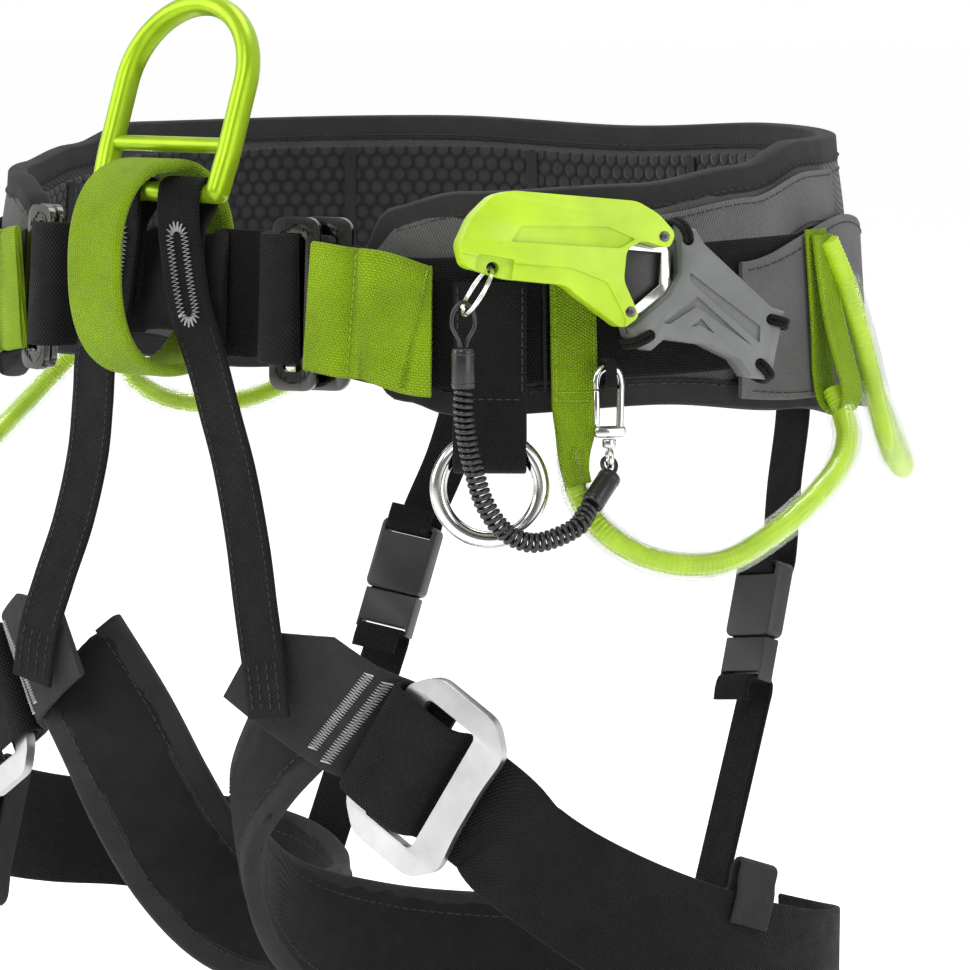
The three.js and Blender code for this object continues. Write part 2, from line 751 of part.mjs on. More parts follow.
function makeHook() {
  const round = (angle) => vector(
    hookBend * Math.cos(angle), 0, hookTop - hookBend + hookBend * Math.sin(angle),
  );
  const body = tube([
    vector(hookBend, 0, hookBase), vector(hookBend, 0, hookTop - hookBend - 6), round(0),
    round(Math.PI / 4), round(Math.PI / 2), round(Math.PI * 0.75), round(Math.PI),
    vector(-hookBend, 0, hookTop - hookBend - 3),
  ], hookWire, { steps: 26 });
  const base = boxAt(11, 3.6, 4, 0.3, 0, hookBase - 1);
  add('hook_body', joined(body, base), steel, hookPlace);
  const gate = rod(
    vector(-hookBend, 0, hookBase + 1.5), vector(-hookBend, 0, hookTop - hookBend - 3.6), 1.1, 8,
  );
  add('hook_gate', gate, steel, hookPlace);

  const barrel = rod(vector(0, 0, hookBase - 3.4), vector(0, 0, hookBase - 6.5), 2.4, 10);
  const eye = new THREE.TorusGeometry(3, 0.9, 6, 18).rotateY(Math.PI / 2);
  eye.translate(0, 0, hookEyeZ);
  add('hook_swivel', joined(barrel, eye), steel, hookPlace);

  const shape = new THREE.Shape();
  const [front, back, low, high] = [-5, 6.3, hookTop - 7.4, hookTop + 3.2];
  shape.moveTo(front, low);
  shape.lineTo(back, low);
  shape.lineTo(back, high);
  shape.lineTo(front, high);
  shape.closePath();
  const inside = new THREE.Path();
  const wall = 1.3;
  inside.moveTo(front + wall, low + wall);
  inside.lineTo(front + wall, high - wall);
  inside.lineTo(back - wall, high - wall);
  inside.lineTo(back - wall, low + wall);
  inside.closePath();
  shape.holes.push(inside);
  add('hook_loop', slab(shape, 4), blackWebbing, hookPlace);
}

// ---------------------------------------------------------------- leg loops
const legPadRoute = [
  [62.5, -122, -143], [40, -123.2, -168], [23.5, -121, -194], [17.5, -107.5, -219], [16, -84, -241],
  [20, -46, -256], [37, -6, -264], [66, 28, -266], [102, 45, -262], [138, 40, -256],
];
const legStrapRoute = [
  [141, -109, -192], [167, -84, -216], [185, -47, -234], [191, -8, -246], [182, 24, -252],
  [160, 44, -257], [136, 54, -259],
];
const junctionRoute = [[56, -139.5, -136], [72, -137, -144.5], [85, -134.6, -151]];
const legBuckleSize = { width: 44, height: 68, thickness: 4, window: 22 };
const legBucklePitch = 32;
const legInnerBar = -17;

function legVectors(route, side) {
  return route.map(([x, y, z]) => vector(x * side, y, z));
}

// The width of a strap round the thigh stands square to the strap and to the thigh's radius.
function roundThigh(side) {
  return (point, tangent) => vector(point.x - thighX * side, point.y - thighY, 0).cross(tangent);
}

function legPad(side) {
  return ribbon(legVectors(legPadRoute, side), {
    width: 48, thickness: 9, widthways: roundThigh(side), steps: 30, rows: 4, crown: 0.4,
  });
}

function legBuckleShape() {
  const { width, height, window } = legBuckleSize;
  const [x, z] = [width / 2, height / 2];
  const corner = 9;
  const shape = outline([
    [-x + corner, -z], [x - corner, -z], [x, -z + corner], [x, z - corner], [x - corner, z],
    [-x + corner, z], [-x, z - corner], [-x, -z + corner],
  ]);
  const left = legInnerBar + 4;
  const half = legWebbingWidth / 2 + 2.5;
  shape.holes.push(new THREE.Path([
    [left, -half], [left, half], [left + window, half], [left + window, -half],
  ].map(([px, pz]) => new THREE.Vector2(px, pz))));
  return shape;
}

// The strap comes from under the outer bar, round the inner bar and back under it.
function legStrap(side, place) {
  const near = [
    [-3, 4.8], [-12, 4.9], [-19, 4.8], [-24.4, 3.4], [-25.6, 0], [-24.4, -3.4], [-19, -5],
    [-9, -5.2], [0, -4.6], [3.4, -1.6], [5.4, 2.6], [9, 5], [18, 5.8], [30, 5.8],
  ].map(([x, y]) => place.localToWorld(vector(x * side, y, 0)));
  const across = vector(0, 0, 1).transformDirection(place.matrixWorld).multiplyScalar(side);
  const wrapShare = 0.36;
  const round = roundThigh(side);
  return ribbon([...near, ...legVectors(legStrapRoute, side)], {
    width: legWebbingWidth,
    thickness: webbingThickness - 0.2,
    widthways: (point, tangent, u) => {
      const blend = THREE.MathUtils.smoothstep(u, wrapShare, wrapShare + 0.2);
      return across.clone().lerp(round(point, tangent).normalize(), blend);
    },
    steps: 52,
    rows: 2,
  });
}

function makeLegLoops() {
  for (const side of [1, -1]) {
    const label = sideName(side);
    add(`leg_pad_${label}`, legPad(side), blackFabric);
    add(`leg_junction_${label}`, ribbon(legVectors(junctionRoute, side), {
      width: 44, thickness: 2.4, widthways: roundThigh(side), steps: 8, rows: 3,
    }), blackWebbing);
    const place = new THREE.Group();
    place.position.set(111 * side, -122.5, -168);
    place.rotation.order = 'ZYX';
    place.rotation.z = radians(10) * side;
    place.rotation.y = radians(legBucklePitch) * side;
    saddle.add(place);
    place.updateMatrixWorld(true);
    const frame = plate(legBuckleShape(), legBuckleSize.thickness, 1);
    if (side < 0) frame.rotateZ(Math.PI);
    add(`leg_buckle_${label}`, frame, brushedAluminium, place);
    add(`leg_strap_${label}`, legStrap(side, place), blackWebbing);
  }
}

// ---------------------------------------------------------------- rear straps
// A webbing strap from the back of the belt to a side-release clip above the leg loop.
const rearWebbing = { width: 20, thickness: 1.8 };
const rearStrapRoute = [[82, 131.5, -34], [84, 131, -60], [87, 121, -92]];
const rearClipTop = [91, 104, -120];
const rearPadEnd = [99, 53.6, -252];
const rearClip = { width: 26, depth: 8, height: 30 };
const socketSlotZ = -4;
const plugSlotZ = -46;

// The clip hangs between the belt and the leg pad: X across it, Y away from the body, Z up it.
function rearClipPlace(side) {
  const [top] = legVectors([rearClipTop], side);
  const [end] = legVectors([rearPadEnd], side);
  const up = top.clone().sub(end).normalize();
  const across = vector(1, -0.3 * side, 0);
  across.addScaledVector(up, -across.dot(up)).normalize();
  const place = new THREE.Group();
  place.position.copy(top);
  place.quaternion.setFromRotationMatrix(
    new THREE.Matrix4().makeBasis(across, up.clone().cross(across), up),
  );
  saddle.add(place);
  place.updateMatrixWorld(true);
  return place;
}

// Webbing that comes in at one face of the clip, turns through a slot and leaves at the other.
function foldThroughSlot(place, slotZ, direction) {
  return [
    [-5.6, slotZ + 10 * direction], [-5.9, slotZ + 4.5 * direction],
    [-5, slotZ + 0.8 * direction], [0, slotZ], [5, slotZ + 0.8 * direction],
    [5.9, slotZ + 4.5 * direction], [5.6, slotZ + 10 * direction],
  ].map(([y, z]) => place.localToWorld(vector(0, y, z)));
}

function rearRibbon(points, place) {
  const across = vector(1, 0, 0).transformDirection(place.matrixWorld);
  return ribbon(points, { ...rearWebbing, widthways: () => across, steps: 26 });
}

function clipSlot(z) {
  const { depth } = rearClip;
  return boxAt(rearWebbing.width + 1.5, depth + 2, 3.4, 0, 0, z);
}

function rearClipSocket() {
  const { width, depth, height } = rearClip;
  const body = plate(roundedRectangle(width, height, 3), depth, 1, 3);
  const mouth = boxAt(width - 4, depth - 3.4, height, 0, 0, -height / 2 - 9);
  return cut(body.translate(0, 0, -height / 2), mouth, clipSlot(socketSlotZ));
}

function rearClipPlug() {
  const { width, depth, height } = rearClip;
  const prongs = boxAt(width - 5, depth - 4.4, height - 6, 0, 0, -height / 2 - 8);
  const block = boxAt(width - 2, depth - 1, 17, 0, 0, -height - 9);
  const springGap = boxAt(8, depth, height - 14, 0, 0, -height / 2 - 6);
  return cut(joined(prongs, block), springGap, clipSlot(plugSlotZ));
}

function makeRearStraps() {
  for (const side of [1, -1]) {
    const label = sideName(side);
    const place = rearClipPlace(side);
    const fromBelt = [
      ...legVectors(rearStrapRoute, side), ...foldThroughSlot(place, socketSlotZ, 1).reverse(),
    ];
    add(`rear_strap_${label}`, rearRibbon(fromBelt, place), blackWebbing);
    add(`rear_clip_socket_${label}`, rearClipSocket(), darkPlastic, place);
    add(`rear_clip_plug_${label}`, rearClipPlug(), darkPlastic, place);
    const toPad = [...foldThroughSlot(place, plugSlotZ, -1), ...legVectors([rearPadEnd], side)];
    add(`rear_lower_strap_${label}`, rearRibbon(toPad, place), blackWebbing);
  }
}

makeHipBelt();
makeWaistClosure();
makeFront();
makeSideRings();
makeGearLoops();
makeTool();
makeLanyard();
makeHook();
makeLegLoops();
makeRearStraps();

export default saddle;
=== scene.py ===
import math

import bpy
from mathutils import Matrix, Vector, noise


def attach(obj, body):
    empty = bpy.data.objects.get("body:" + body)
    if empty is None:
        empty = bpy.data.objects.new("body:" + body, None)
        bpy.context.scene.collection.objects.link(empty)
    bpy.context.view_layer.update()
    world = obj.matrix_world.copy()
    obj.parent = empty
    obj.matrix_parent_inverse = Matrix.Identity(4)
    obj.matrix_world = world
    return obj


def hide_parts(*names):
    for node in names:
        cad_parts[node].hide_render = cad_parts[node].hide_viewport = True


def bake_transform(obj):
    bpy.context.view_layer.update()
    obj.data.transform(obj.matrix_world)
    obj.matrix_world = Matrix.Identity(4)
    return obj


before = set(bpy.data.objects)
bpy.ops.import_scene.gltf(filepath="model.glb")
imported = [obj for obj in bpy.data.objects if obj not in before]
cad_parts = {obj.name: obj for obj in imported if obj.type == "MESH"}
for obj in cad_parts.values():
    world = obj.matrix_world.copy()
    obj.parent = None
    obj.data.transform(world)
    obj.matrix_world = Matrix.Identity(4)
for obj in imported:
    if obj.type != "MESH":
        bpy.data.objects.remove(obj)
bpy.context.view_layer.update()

# Tree climbing saddle. Lengths in the tables are millimetres in the frame of the CAD part:
# the wearer faces -Y, the wearer's left is +X, and the origin is the middle of the waist.
MM = 0.001
WAIST_HALF_WIDTH = 165.0
WAIST_HALF_DEPTH = 131.0
BELT_FLARE = 0.07
WEBBING_WIDTH = 45.0
THREAD = 0.26
SIDES = (("left", 1), ("right", -1))


# ---------------------------------------------------------------- camera and light
def aim(obj, place, target):
    obj.location = place
    obj.rotation_euler = (Vector(target) - Vector(place)).to_track_quat("-Z", "Y").to_euler()


def make_camera():
    camera = bpy.data.objects.new("camera", bpy.data.cameras.new("camera"))
    bpy.context.collection.objects.link(camera)
    camera.data.sensor_width = 36.0
    camera.data.lens = 145.86
    aim(camera, (0.9842, -1.1314, 0.0974), (0.0272, 0.0091, -0.0854))
    bpy.context.scene.camera = camera


def make_lamp(name, place, size, power):
    lamp = bpy.data.objects.new(name, bpy.data.lights.new(name, "AREA"))
    bpy.context.collection.objects.link(lamp)
    lamp.data.size = size
    lamp.data.energy = power
    aim(lamp, place, (0.05, -0.02, -0.08))


make_camera()
make_lamp("key_light", (0.35, -1.5, 1.1), 1.0, 17)
make_lamp("fill_light", (1.7, -0.2, 0.35), 1.2, 11)
make_lamp("left_light", (-1.1, -1.1, 0.5), 0.9, 9)
make_lamp("top_light", (0.1, 0.5, 1.4), 1.0, 12)


# ---------------------------------------------------------------- paths in millimetres
def on_belt(angle, out, z):
    """A point round the belt: angle from the front to the wearer's left, out from the body."""
    reach = out - BELT_FLARE * z
    turn = math.radians(angle)
    return Vector((
        (WAIST_HALF_WIDTH + reach) * math.sin(turn),
        -(WAIST_HALF_DEPTH + reach) * math.cos(turn),
        z,
    ))


def belt_place(angle, out, z, pitch=0.0):
    """A place on the belt, in millimetres: its X runs round the belt, -Y out and Z up."""
    turn = math.radians(angle)
    heading = math.atan2(
        (WAIST_HALF_DEPTH + out) * math.sin(turn), (WAIST_HALF_WIDTH + out) * math.cos(turn),
    )
    return (
        Matrix.Translation(on_belt(angle, out, z)) @ Matrix.Rotation(heading, 4, "Z")
        @ Matrix.Rotation(pitch, 4, "Y") @ Matrix.Rotation(-math.atan(BELT_FLARE), 4, "X")
    )


def eased(table, value):
    """A value read from a table of (place, value) rows, with a soft step between rows."""
    if value <= table[0][0]:
        return table[0][1]
    for (start, low), (end, high) in zip(table, table[1:]):
        if value < end:
            share = (value - start) / (end - start)
            return low + (high - low) * share * share * (3 - 2 * share)
    return table[-1][1]


def span(p0, p1, p2, p3, share):
    """One centripetal Catmull-Rom span, from p1 to p2."""
    gaps = [max((b - a).length ** 0.5, 1e-4) for a, b in ((p0, p1), (p1, p2), (p2, p3))]
    start = (p1 - p0) / gaps[0] - (p2 - p0) / (gaps[0] + gaps[1]) + (p2 - p1) / gaps[1]
    end = (p2 - p1) / gaps[1] - (p3 - p1) / (gaps[1] + gaps[2]) + (p3 - p2) / gaps[2]
    start, end = start * gaps[1], end * gaps[1]
    s2, s3 = share * share, share ** 3
    return (
        p1 * (2 * s3 - 3 * s2 + 1) + start * (s3 - 2 * s2 + share)
        + p2 * (3 * s2 - 2 * s3) + end * (s3 - s2)
    )


def smooth_path(points, step):
    """An even path through the points, about one step apart."""
    points = [Vector(p) for p in points]
    ends = [points[0] * 2 - points[1]] + points + [points[-1] * 2 - points[-2]]
    fine = [
        span(*ends[i:i + 4], k / 24)
        for i in range(len(points) - 1) for k in range(24)
    ] + [points[-1]]
    return even(fine, step)


def even(fine, step):
    """The same line with evenly spaced points."""
    lengths = [0.0]
    for a, b in zip(fine, fine[1:]):
        lengths.append(lengths[-1] + (b - a).length)
    count = max(2, round(lengths[-1] / step))
    path, at = [], 0
    for i in range(count + 1):
        wanted = lengths[-1] * i / count
        while at < len(fine) - 2 and lengths[at + 1] < wanted:
            at += 1
        run = max(lengths[at + 1] - lengths[at], 1e-9)
        path.append(fine[at].lerp(fine[at + 1], min(1.0, (wanted - lengths[at]) / run)))
    return path


def nearest(path, place):
    """The number of the point of a path that is closest to a place."""
    return min(range(len(path)), key=lambda i: (path[i] - Vector(place)).length)


def round_belt(point, tangent, share):
    """The direction round the belt at a point."""
    return Vector((-point.y, point.x, 0))


def mirrored(points, side):
    return [Vector((p[0] * side, p[1], p[2])) for p in points]


def strip_section(width, thickness, across=10):
    """The outline of a strap's cut end, with rounded edges."""
    half, rise = width / 2 - thickness / 2, thickness / 2
    front = [(-half + 2 * half * i / across, rise) for i in range(across + 1)]
    right = [(half + rise * math.sin(a), rise * math.cos(a)) for a in (0.8, 1.57, 2.34)]
    back = [(-x, -y) for x, y in front]
    left = [(-x, -y) for x, y in right]
    return front + right + back + left


def round_section(radius, sides=16, flat=1.0):
    turns = [2 * math.pi * i / sides for i in range(sides)]
    return [(radius * math.cos(t), radius * flat * math.sin(t)) for t in turns]


# ---------------------------------------------------------------- making pieces
def deselect():
    bpy.ops.object.select_all(action="DESELECT")


def choose(obj):
    deselect()
    obj.select_set(True)
    bpy.context.view_layer.objects.active = obj


def smooth(obj, degrees=40):
    choose(obj)
    bpy.ops.object.shade_smooth_by_angle(angle=math.radians(degrees))


def apply_modifier(obj, kind, **values):
    choose(obj)
    modifier = obj.modifiers.new(kind.lower(), kind)
    for key, value in values.items():
        setattr(modifier, key, value)
    bpy.ops.object.modifier_apply(modifier=modifier.name)


def soften(obj, width, segments=3, angle=30):
    """Rounds the edges where the surface turns by more than the angle."""
    apply_modifier(
        obj, "BEVEL", width=width * MM, segments=segments, limit_method="ANGLE",
        angle_limit=math.radians(angle), use_clamp_overlap=True,
    )
    smooth(obj, 40)
    return obj


def carve(obj, *tools):
    """Cuts the tools out of a piece and removes them."""
    for tool in tools:
        apply_modifier(obj, "BOOLEAN", operation="DIFFERENCE", object=tool, solver="EXACT")
        bpy.data.objects.remove(tool)
    return obj


def merge(obj, distance=1e-6, outwards=False):
    choose(obj)
    bpy.ops.object.mode_set(mode="EDIT")
    bpy.ops.mesh.select_all(action="SELECT")
    bpy.ops.mesh.remove_doubles(threshold=distance)
    if outwards:
        bpy.ops.mesh.normals_make_consistent(inside=False)
    bpy.ops.object.mode_set(mode="OBJECT")


def settle(obj):
    """Puts a piece's place into its mesh."""
    choose(obj)
    bpy.ops.object.transform_apply(location=True, rotation=True, scale=True)


def join(name, *pieces):
    choose(pieces[0])
    for piece in pieces:
        piece.select_set(True)
    if len(pieces) > 1:
        bpy.ops.object.join()
    pieces[0].name = name
    return pieces[0]


def dress(obj, body, finish, *stands_for):
    """The piece's finish, the body it rides on and the CAD nodes it stands for."""
    obj.data.materials.clear()
    obj.data.materials.append(FINISHES[finish])
    if body:
        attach(obj, body)
    if stands_for:
        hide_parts(*stands_for)
    return obj


class Run:
    """A strap, tube or binding along a path, which knows where its surface is."""

    def __init__(self, path, across=None, closed=False):
        self.path, self.closed = path, closed
        count = len(path)
        self.tangents, self.sides, self.normals, self.along = [], [], [], [0.0]
        for i in range(count):
            if closed:
                ahead, behind = path[(i + 1) % count], path[i - 1]
            else:
                ahead, behind = path[min(i + 1, count - 1)], path[max(i - 1, 0)]
            tangent = (ahead - behind).normalized()
            if across:
                side = Vector(across(path[i], tangent, i / (count - 1)))
            elif i == 0:
                side = tangent.orthogonal()
            else:
                side = self.sides[-1]
            side = (side - tangent * side.dot(tangent)).normalized()
            self.tangents.append(tangent)
            self.sides.append(side)
            self.normals.append(side.cross(tangent).normalized())
            if i:
                self.along.append(self.along[-1] + (path[i] - path[i - 1]).length)
        self.length = self.along[-1]

    def at(self, distance, sideways=0.0, lift=0.0):
        """The point that far along, moved across the strap and off its middle surface."""
        i = 0
        while i < len(self.path) - 2 and self.along[i + 1] < distance:
            i += 1
        share = (distance - self.along[i]) / max(self.along[i + 1] - self.along[i], 1e-9)
        point = self.path[i].lerp(self.path[i + 1], share)
        side = self.sides[i].lerp(self.sides[i + 1], share)
        normal = self.normals[i].lerp(self.normals[i + 1], share)
        return point + side * sideways + normal * lift

    def piece(self, name, section, scale=None, wobble=0.0):
        """Sweeps the section along the run. scale(share) gives (across, through)."""
        count = len(self.path)
        rows = list(range(count))
        if self.closed:
            rows.append(0)
        else:
            rows = [0] + rows + [count - 1]
        around = len(section)
        deselect()
        bpy.ops.mesh.primitive_grid_add(
            x_subdivisions=len(rows) - 1, y_subdivisions=around, size=1, calc_uvs=True,
        )
        obj = bpy.context.object
        obj.name = name
        mesh = obj.data
        girth = [0.0]
        for j in range(around):
            (x0, y0), (x1, y1) = section[j], section[(j + 1) % around]
            girth.append(girth[-1] + math.hypot(x1 - x0, y1 - y0))
        uvs = []
        for vertex in mesh.vertices:
            i = round((vertex.co.x + 0.5) * (len(rows) - 1))
            j = round((vertex.co.y + 0.5) * around)
            row = rows[i]
            wide, thick = scale(row / (count - 1)) if scale else (1.0, 1.0)
            if not self.closed and i in (0, len(rows) - 1):
                wide = thick = 0.0
            x, y = section[j % around]
            point = self.path[row]
            if wobble:
                drift = noise.noise(point * 0.03) + 0.4 * noise.noise(point * 0.09)
                point = point + self.normals[row] * wobble * drift
            vertex.co = (
                point + self.sides[row] * x * wide + self.normals[row] * y * thick
            ) * MM
            distance = self.along[row] if i < count or not self.closed else self.length
            uvs.append((distance * MM, girth[j] * MM))
        layer = mesh.uv_layers.active
        for loop in mesh.loops:
            layer.data[loop.index].uv = uvs[loop.vertex_index]
        merge(obj, 1e-7, outwards=True)
        smooth(obj, 50)
        return obj


def flat_run(points, step, across):
    """A run through the points whose across direction never turns."""
    return Run(smooth_path(points, step), lambda point, tangent, share: across)


def strap(name, run, width, thickness, body, finish, *stands_for, scale=None, wobble=0.0):
    section = strip_section(width, thickness)
    piece = run.piece(name, section, scale=scale, wobble=wobble)
    return dress(piece, body, finish, *stands_for)


def rod(name, start, end, radius, sides=32, bevel=0.0):
    """A round bar between two points, with softened ends."""
    start, end = Vector(start) * MM, Vector(end) * MM
    deselect()
    bpy.ops.mesh.primitive_cylinder_add(
        vertices=sides, radius=radius * MM, depth=(end - start).length,
        location=(start + end) / 2, rotation=(end - start).to_track_quat("Z", "Y").to_euler(),
    )
    obj = bpy.context.object
    obj.name = name
    settle(obj)
    if bevel:
        return soften(obj, bevel, angle=50)
    smooth(obj, 40)
    return obj


def meshed(name, curve):
    """A curve made into a mesh piece."""
    obj = bpy.data.objects.new(name, curve)
    bpy.context.collection.objects.link(obj)
    choose(obj)
    bpy.ops.object.convert(target="MESH")
    return bpy.context.object


def cad_copy(node, name):
    """A copy of a CAD piece, with its loose triangles joined up."""
    obj = bpy.data.objects.new(name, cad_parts[node].data.copy())
    bpy.context.collection.objects.link(obj)
    merge(obj, 1e-6)
    return obj


def thread(name, lines, radius, body, finish):
    """Sewing thread: each line is its own short run of thread."""
    curve = bpy.data.curves.new(name, "CURVE")
    curve.dimensions = "3D"
    curve.bevel_depth = radius * MM
    curve.bevel_resolution = 1
    curve.use_fill_caps = True
    for line in lines:
        spline = curve.splines.new("POLY")
        spline.points.add(len(line) - 1)
        for spot, point in zip(spline.points, line):
            spot.co = (*(Vector(point) * MM), 1.0)
    obj = meshed(name, curve)
    smooth(obj, 60)
    return dress(obj, body, finish)


def seam(run, start, end, sideways, lift, stitch=2.6, gap=1.1):
    """Running stitches along a run, as short arched threads."""
    count = max(1, int(abs(end - start) / (stitch + gap)))
    lines = []
    for i in range(count):
        marks = [(i + k * stitch / (stitch + gap)) / count for k in (0.0, 0.25, 0.75, 1.0)]
        heights = (-0.15, 0.12, 0.12, -0.15)
        lines.append([
            run.at(start + (end - start) * m, sideways, lift + h) for m, h in zip(marks, heights)
        ])
    return lines


def seams(run, start, end, places, lift, stitch=2.6, gap=1.1):
    """Rows of running stitches, one at each place across the run."""
    rows = [seam(run, start, end, sideways, lift, stitch, gap) for sideways in places]
    return [line for row in rows for line in row]


def zigzag(spots, half_width, lift, surface):
    """A zigzag of thread along a line of (distance, sideways) spots on a surface."""
    line = []
    count = len(spots)
    for i, (x, y) in enumerate(spots):
        ahead, behind = spots[min(i + 1, count - 1)], spots[max(i - 1, 0)]
        dx, dy = ahead[0] - behind[0], ahead[1] - behind[1]
        size = math.hypot(dx, dy) or 1.0
        swing = half_width if i % 2 else -half_width
        line.append(surface(x - dy / size * swing, y + dx / size * swing, lift))
    return line


def struck(pieces, start, direction):
    """Where a line from outside first meets one of the pieces."""
    best = None
    for piece in pieces:
        hit, spot, _, _ = piece.ray_cast(start * MM, direction)
        if hit and (best is None or (spot / MM - start).length < (best - start).length):
            best = spot / MM
    return best


def outwards_sign(run, index, away):
    return 1 if run.normals[index].dot(Vector(away)) > 0 else -1


def laid(points, pieces, lift=0.2):
    """Moves points straight in or out from the body until they lie on the pieces."""
    result = []
    for point in points:
        outward = Vector((point.x, point.y, 0)).normalized()
        spot = struck(pieces, point + outward * 25, -outward)
        result.append((point if spot is None else spot) + outward * lift)
    return result


def refined(node, name, bevel, cuts=()):
    """A copy of a hard CAD piece with its flats joined up and its edges softened."""
    obj = cad_copy(node, name)
    choose(obj)
    bpy.ops.object.mode_set(mode="EDIT")
    bpy.ops.mesh.select_all(action="SELECT")
    bpy.ops.mesh.dissolve_limited(angle_limit=math.radians(0.6))
    bpy.ops.object.mode_set(mode="OBJECT")
    return soften(carve(obj, *cuts), bevel)


# ---------------------------------------------------------------- finishes
def add_node(tree, kind, inputs=(), **values):
    """A shader node; inputs are (socket, value or the socket that feeds it) pairs."""
    node = tree.nodes.new(kind)
    for key, value in values.items():
        setattr(node, key, value)
    for key, value in inputs:
        if isinstance(value, bpy.types.NodeSocket):
            tree.links.new(value, node.inputs[key])
        else:
            node.inputs[key].default_value = value
    return node


def maths(tree, operation, first, second=0.0, third=0.0):
    node = add_node(
        tree, "ShaderNodeMath", ((0, first), (1, second), (2, third)), operation=operation,
    )
    return node.outputs[0]


def vector_maths(tree, operation, *inputs):
    node = add_node(tree, "ShaderNodeVectorMath", enumerate(inputs), operation=operation)
    return node.outputs["Value" if operation in ("LENGTH", "DOT_PRODUCT") else "Vector"]


def scaled(tree, vector, factor):
    node = add_node(
        tree, "ShaderNodeVectorMath", ((0, vector), ("Scale", factor)), operation="SCALE",
    )
    return node.outputs[0]


def new_group(name, inputs, outputs):
    tree = bpy.data.node_groups.new(name, "ShaderNodeTree")
    for label, kind, value in inputs:
        socket = tree.interface.new_socket(label, in_out="INPUT", socket_type=kind)
        if value is not None:
            socket.default_value = value
    for label, kind in outputs:
        tree.interface.new_socket(label, in_out="OUTPUT", socket_type=kind)
    return tree, tree.nodes.new("NodeGroupInput"), tree.nodes.new("NodeGroupOutput")


def plain_weave_group():
    """Yarns over and under one another, from a surface position in metres."""
    tree, given, result = new_group(
        "plain weave",
        (("Position", "NodeSocketVector", None), ("Warp", "NodeSocketFloat", 900.0),
         ("Weft", "NodeSocketFloat", 900.0)),
        (("Height", "NodeSocketFloat"),),
    )
    split = add_node(tree, "ShaderNodeSeparateXYZ", ((0, given.outputs["Position"]),))
    across = maths(tree, "MULTIPLY", split.outputs["Y"], given.outputs["Warp"])
    down = maths(tree, "MULTIPLY", split.outputs["X"], given.outputs["Weft"])
    row = maths(tree, "FLOOR", across)
    shifted = maths(tree, "MULTIPLY_ADD", row, 0.5, down)
    yarn = maths(tree, "ABSOLUTE", maths(tree, "SINE", maths(tree, "MULTIPLY", across, math.pi)))
    over = maths(tree, "SINE", maths(tree, "MULTIPLY", shifted, 2 * math.pi))
    bump = maths(tree, "MULTIPLY_ADD", over, 0.5, 0.5)
    height = maths(tree, "MULTIPLY", maths(tree, "POWER", yarn, 0.7), bump)
    tree.links.new(height, result.inputs["Height"])
    return tree


def twill_group():
    """Fine slanting ribs of a twill cloth."""
    tree, given, result = new_group(
        "twill",
        (("Position", "NodeSocketVector", None), ("Ribs", "NodeSocketFloat", 700.0)),
        (("Height", "NodeSocketFloat"),),
    )
    split = add_node(tree, "ShaderNodeSeparateXYZ", ((0, given.outputs["Position"]),))
    slant = maths(tree, "ADD", maths(tree, "MULTIPLY", split.outputs["X"], 1.6), split.outputs["Y"])
    slant = maths(tree, "ADD", slant, split.outputs["Z"])
    turn = maths(tree, "MULTIPLY", maths(tree, "MULTIPLY", slant, given.outputs["Ribs"]), math.pi)
    wave = maths(tree, "ABSOLUTE", maths(tree, "SINE", turn))
    grain = add_node(
        tree, "ShaderNodeTexNoise",
        (("Vector", given.outputs["Position"]), ("Scale", 900.0), ("Detail", 2.0)),
    )
    height = maths(tree, "MULTIPLY_ADD", grain.outputs["Fac"], 0.6, wave)
    tree.links.new(height, result.inputs["Height"])
    return tree


def cell_group():
    """Round cells in a honeycomb, as on a spacer mesh."""
    tree, given, result = new_group(
        "honeycomb",
        (("Position", "NodeSocketVector", None), ("Cell", "NodeSocketFloat", 0.006)),
        (("Cells", "NodeSocketFloat"),),
    )
    pitch = add_node(
        tree, "ShaderNodeCombineXYZ",
        ((0, given.outputs["Cell"]), (1, maths(tree, "MULTIPLY", given.outputs["Cell"], 1.732)),
         (2, 1.0)),
    ).outputs[0]
    half = vector_maths(tree, "MULTIPLY", pitch, (0.5, 0.5, 0.0))
    near = None
    for shift in (False, True):
        spot = given.outputs["Position"]
        if shift:
            spot = vector_maths(tree, "ADD", spot, half)
        wrapped = vector_maths(tree, "WRAP", spot, pitch, (0, 0, 0))
        offset = vector_maths(tree, "SUBTRACT", wrapped, half)
        reach = vector_maths(tree, "LENGTH", vector_maths(tree, "MULTIPLY", offset, (1, 1, 0)))
        near = reach if near is None else maths(tree, "MINIMUM", near, reach)
    share = maths(tree, "DIVIDE", near, given.outputs["Cell"])
    cells = maths(tree, "SUBTRACT", 1.0, maths(tree, "SMOOTH_MIN", maths(
        tree, "MULTIPLY", maths(tree, "MAXIMUM", maths(tree, "SUBTRACT", share, 0.3), 0.0), 5.0,
    ), 1.0, 0.2))
    tree.links.new(cells, result.inputs["Cells"])
    return tree


def mottle_group():
    """A slow patchy change of a value, as on handled or dyed surfaces."""
    tree, given, result = new_group(
        "mottle",
        (("Position", "NodeSocketVector", None), ("Scale", "NodeSocketFloat", 40.0),
         ("Low", "NodeSocketFloat", 0.8), ("High", "NodeSocketFloat", 1.1)),
        (("Value", "NodeSocketFloat"),),
    )
    patches = add_node(
        tree, "ShaderNodeTexNoise",
        (("Vector", given.outputs["Position"]), ("Scale", given.outputs["Scale"]),
         ("Detail", 4.0), ("Roughness", 0.6)),
    )
    spread = add_node(
        tree, "ShaderNodeMapRange",
        (("Value", patches.outputs["Fac"]), ("From Min", 0.3), ("From Max", 0.7),
         ("To Min", given.outputs["Low"]), ("To Max", given.outputs["High"])),
    )
    tree.links.new(spread.outputs[0], result.inputs["Value"])
    return tree


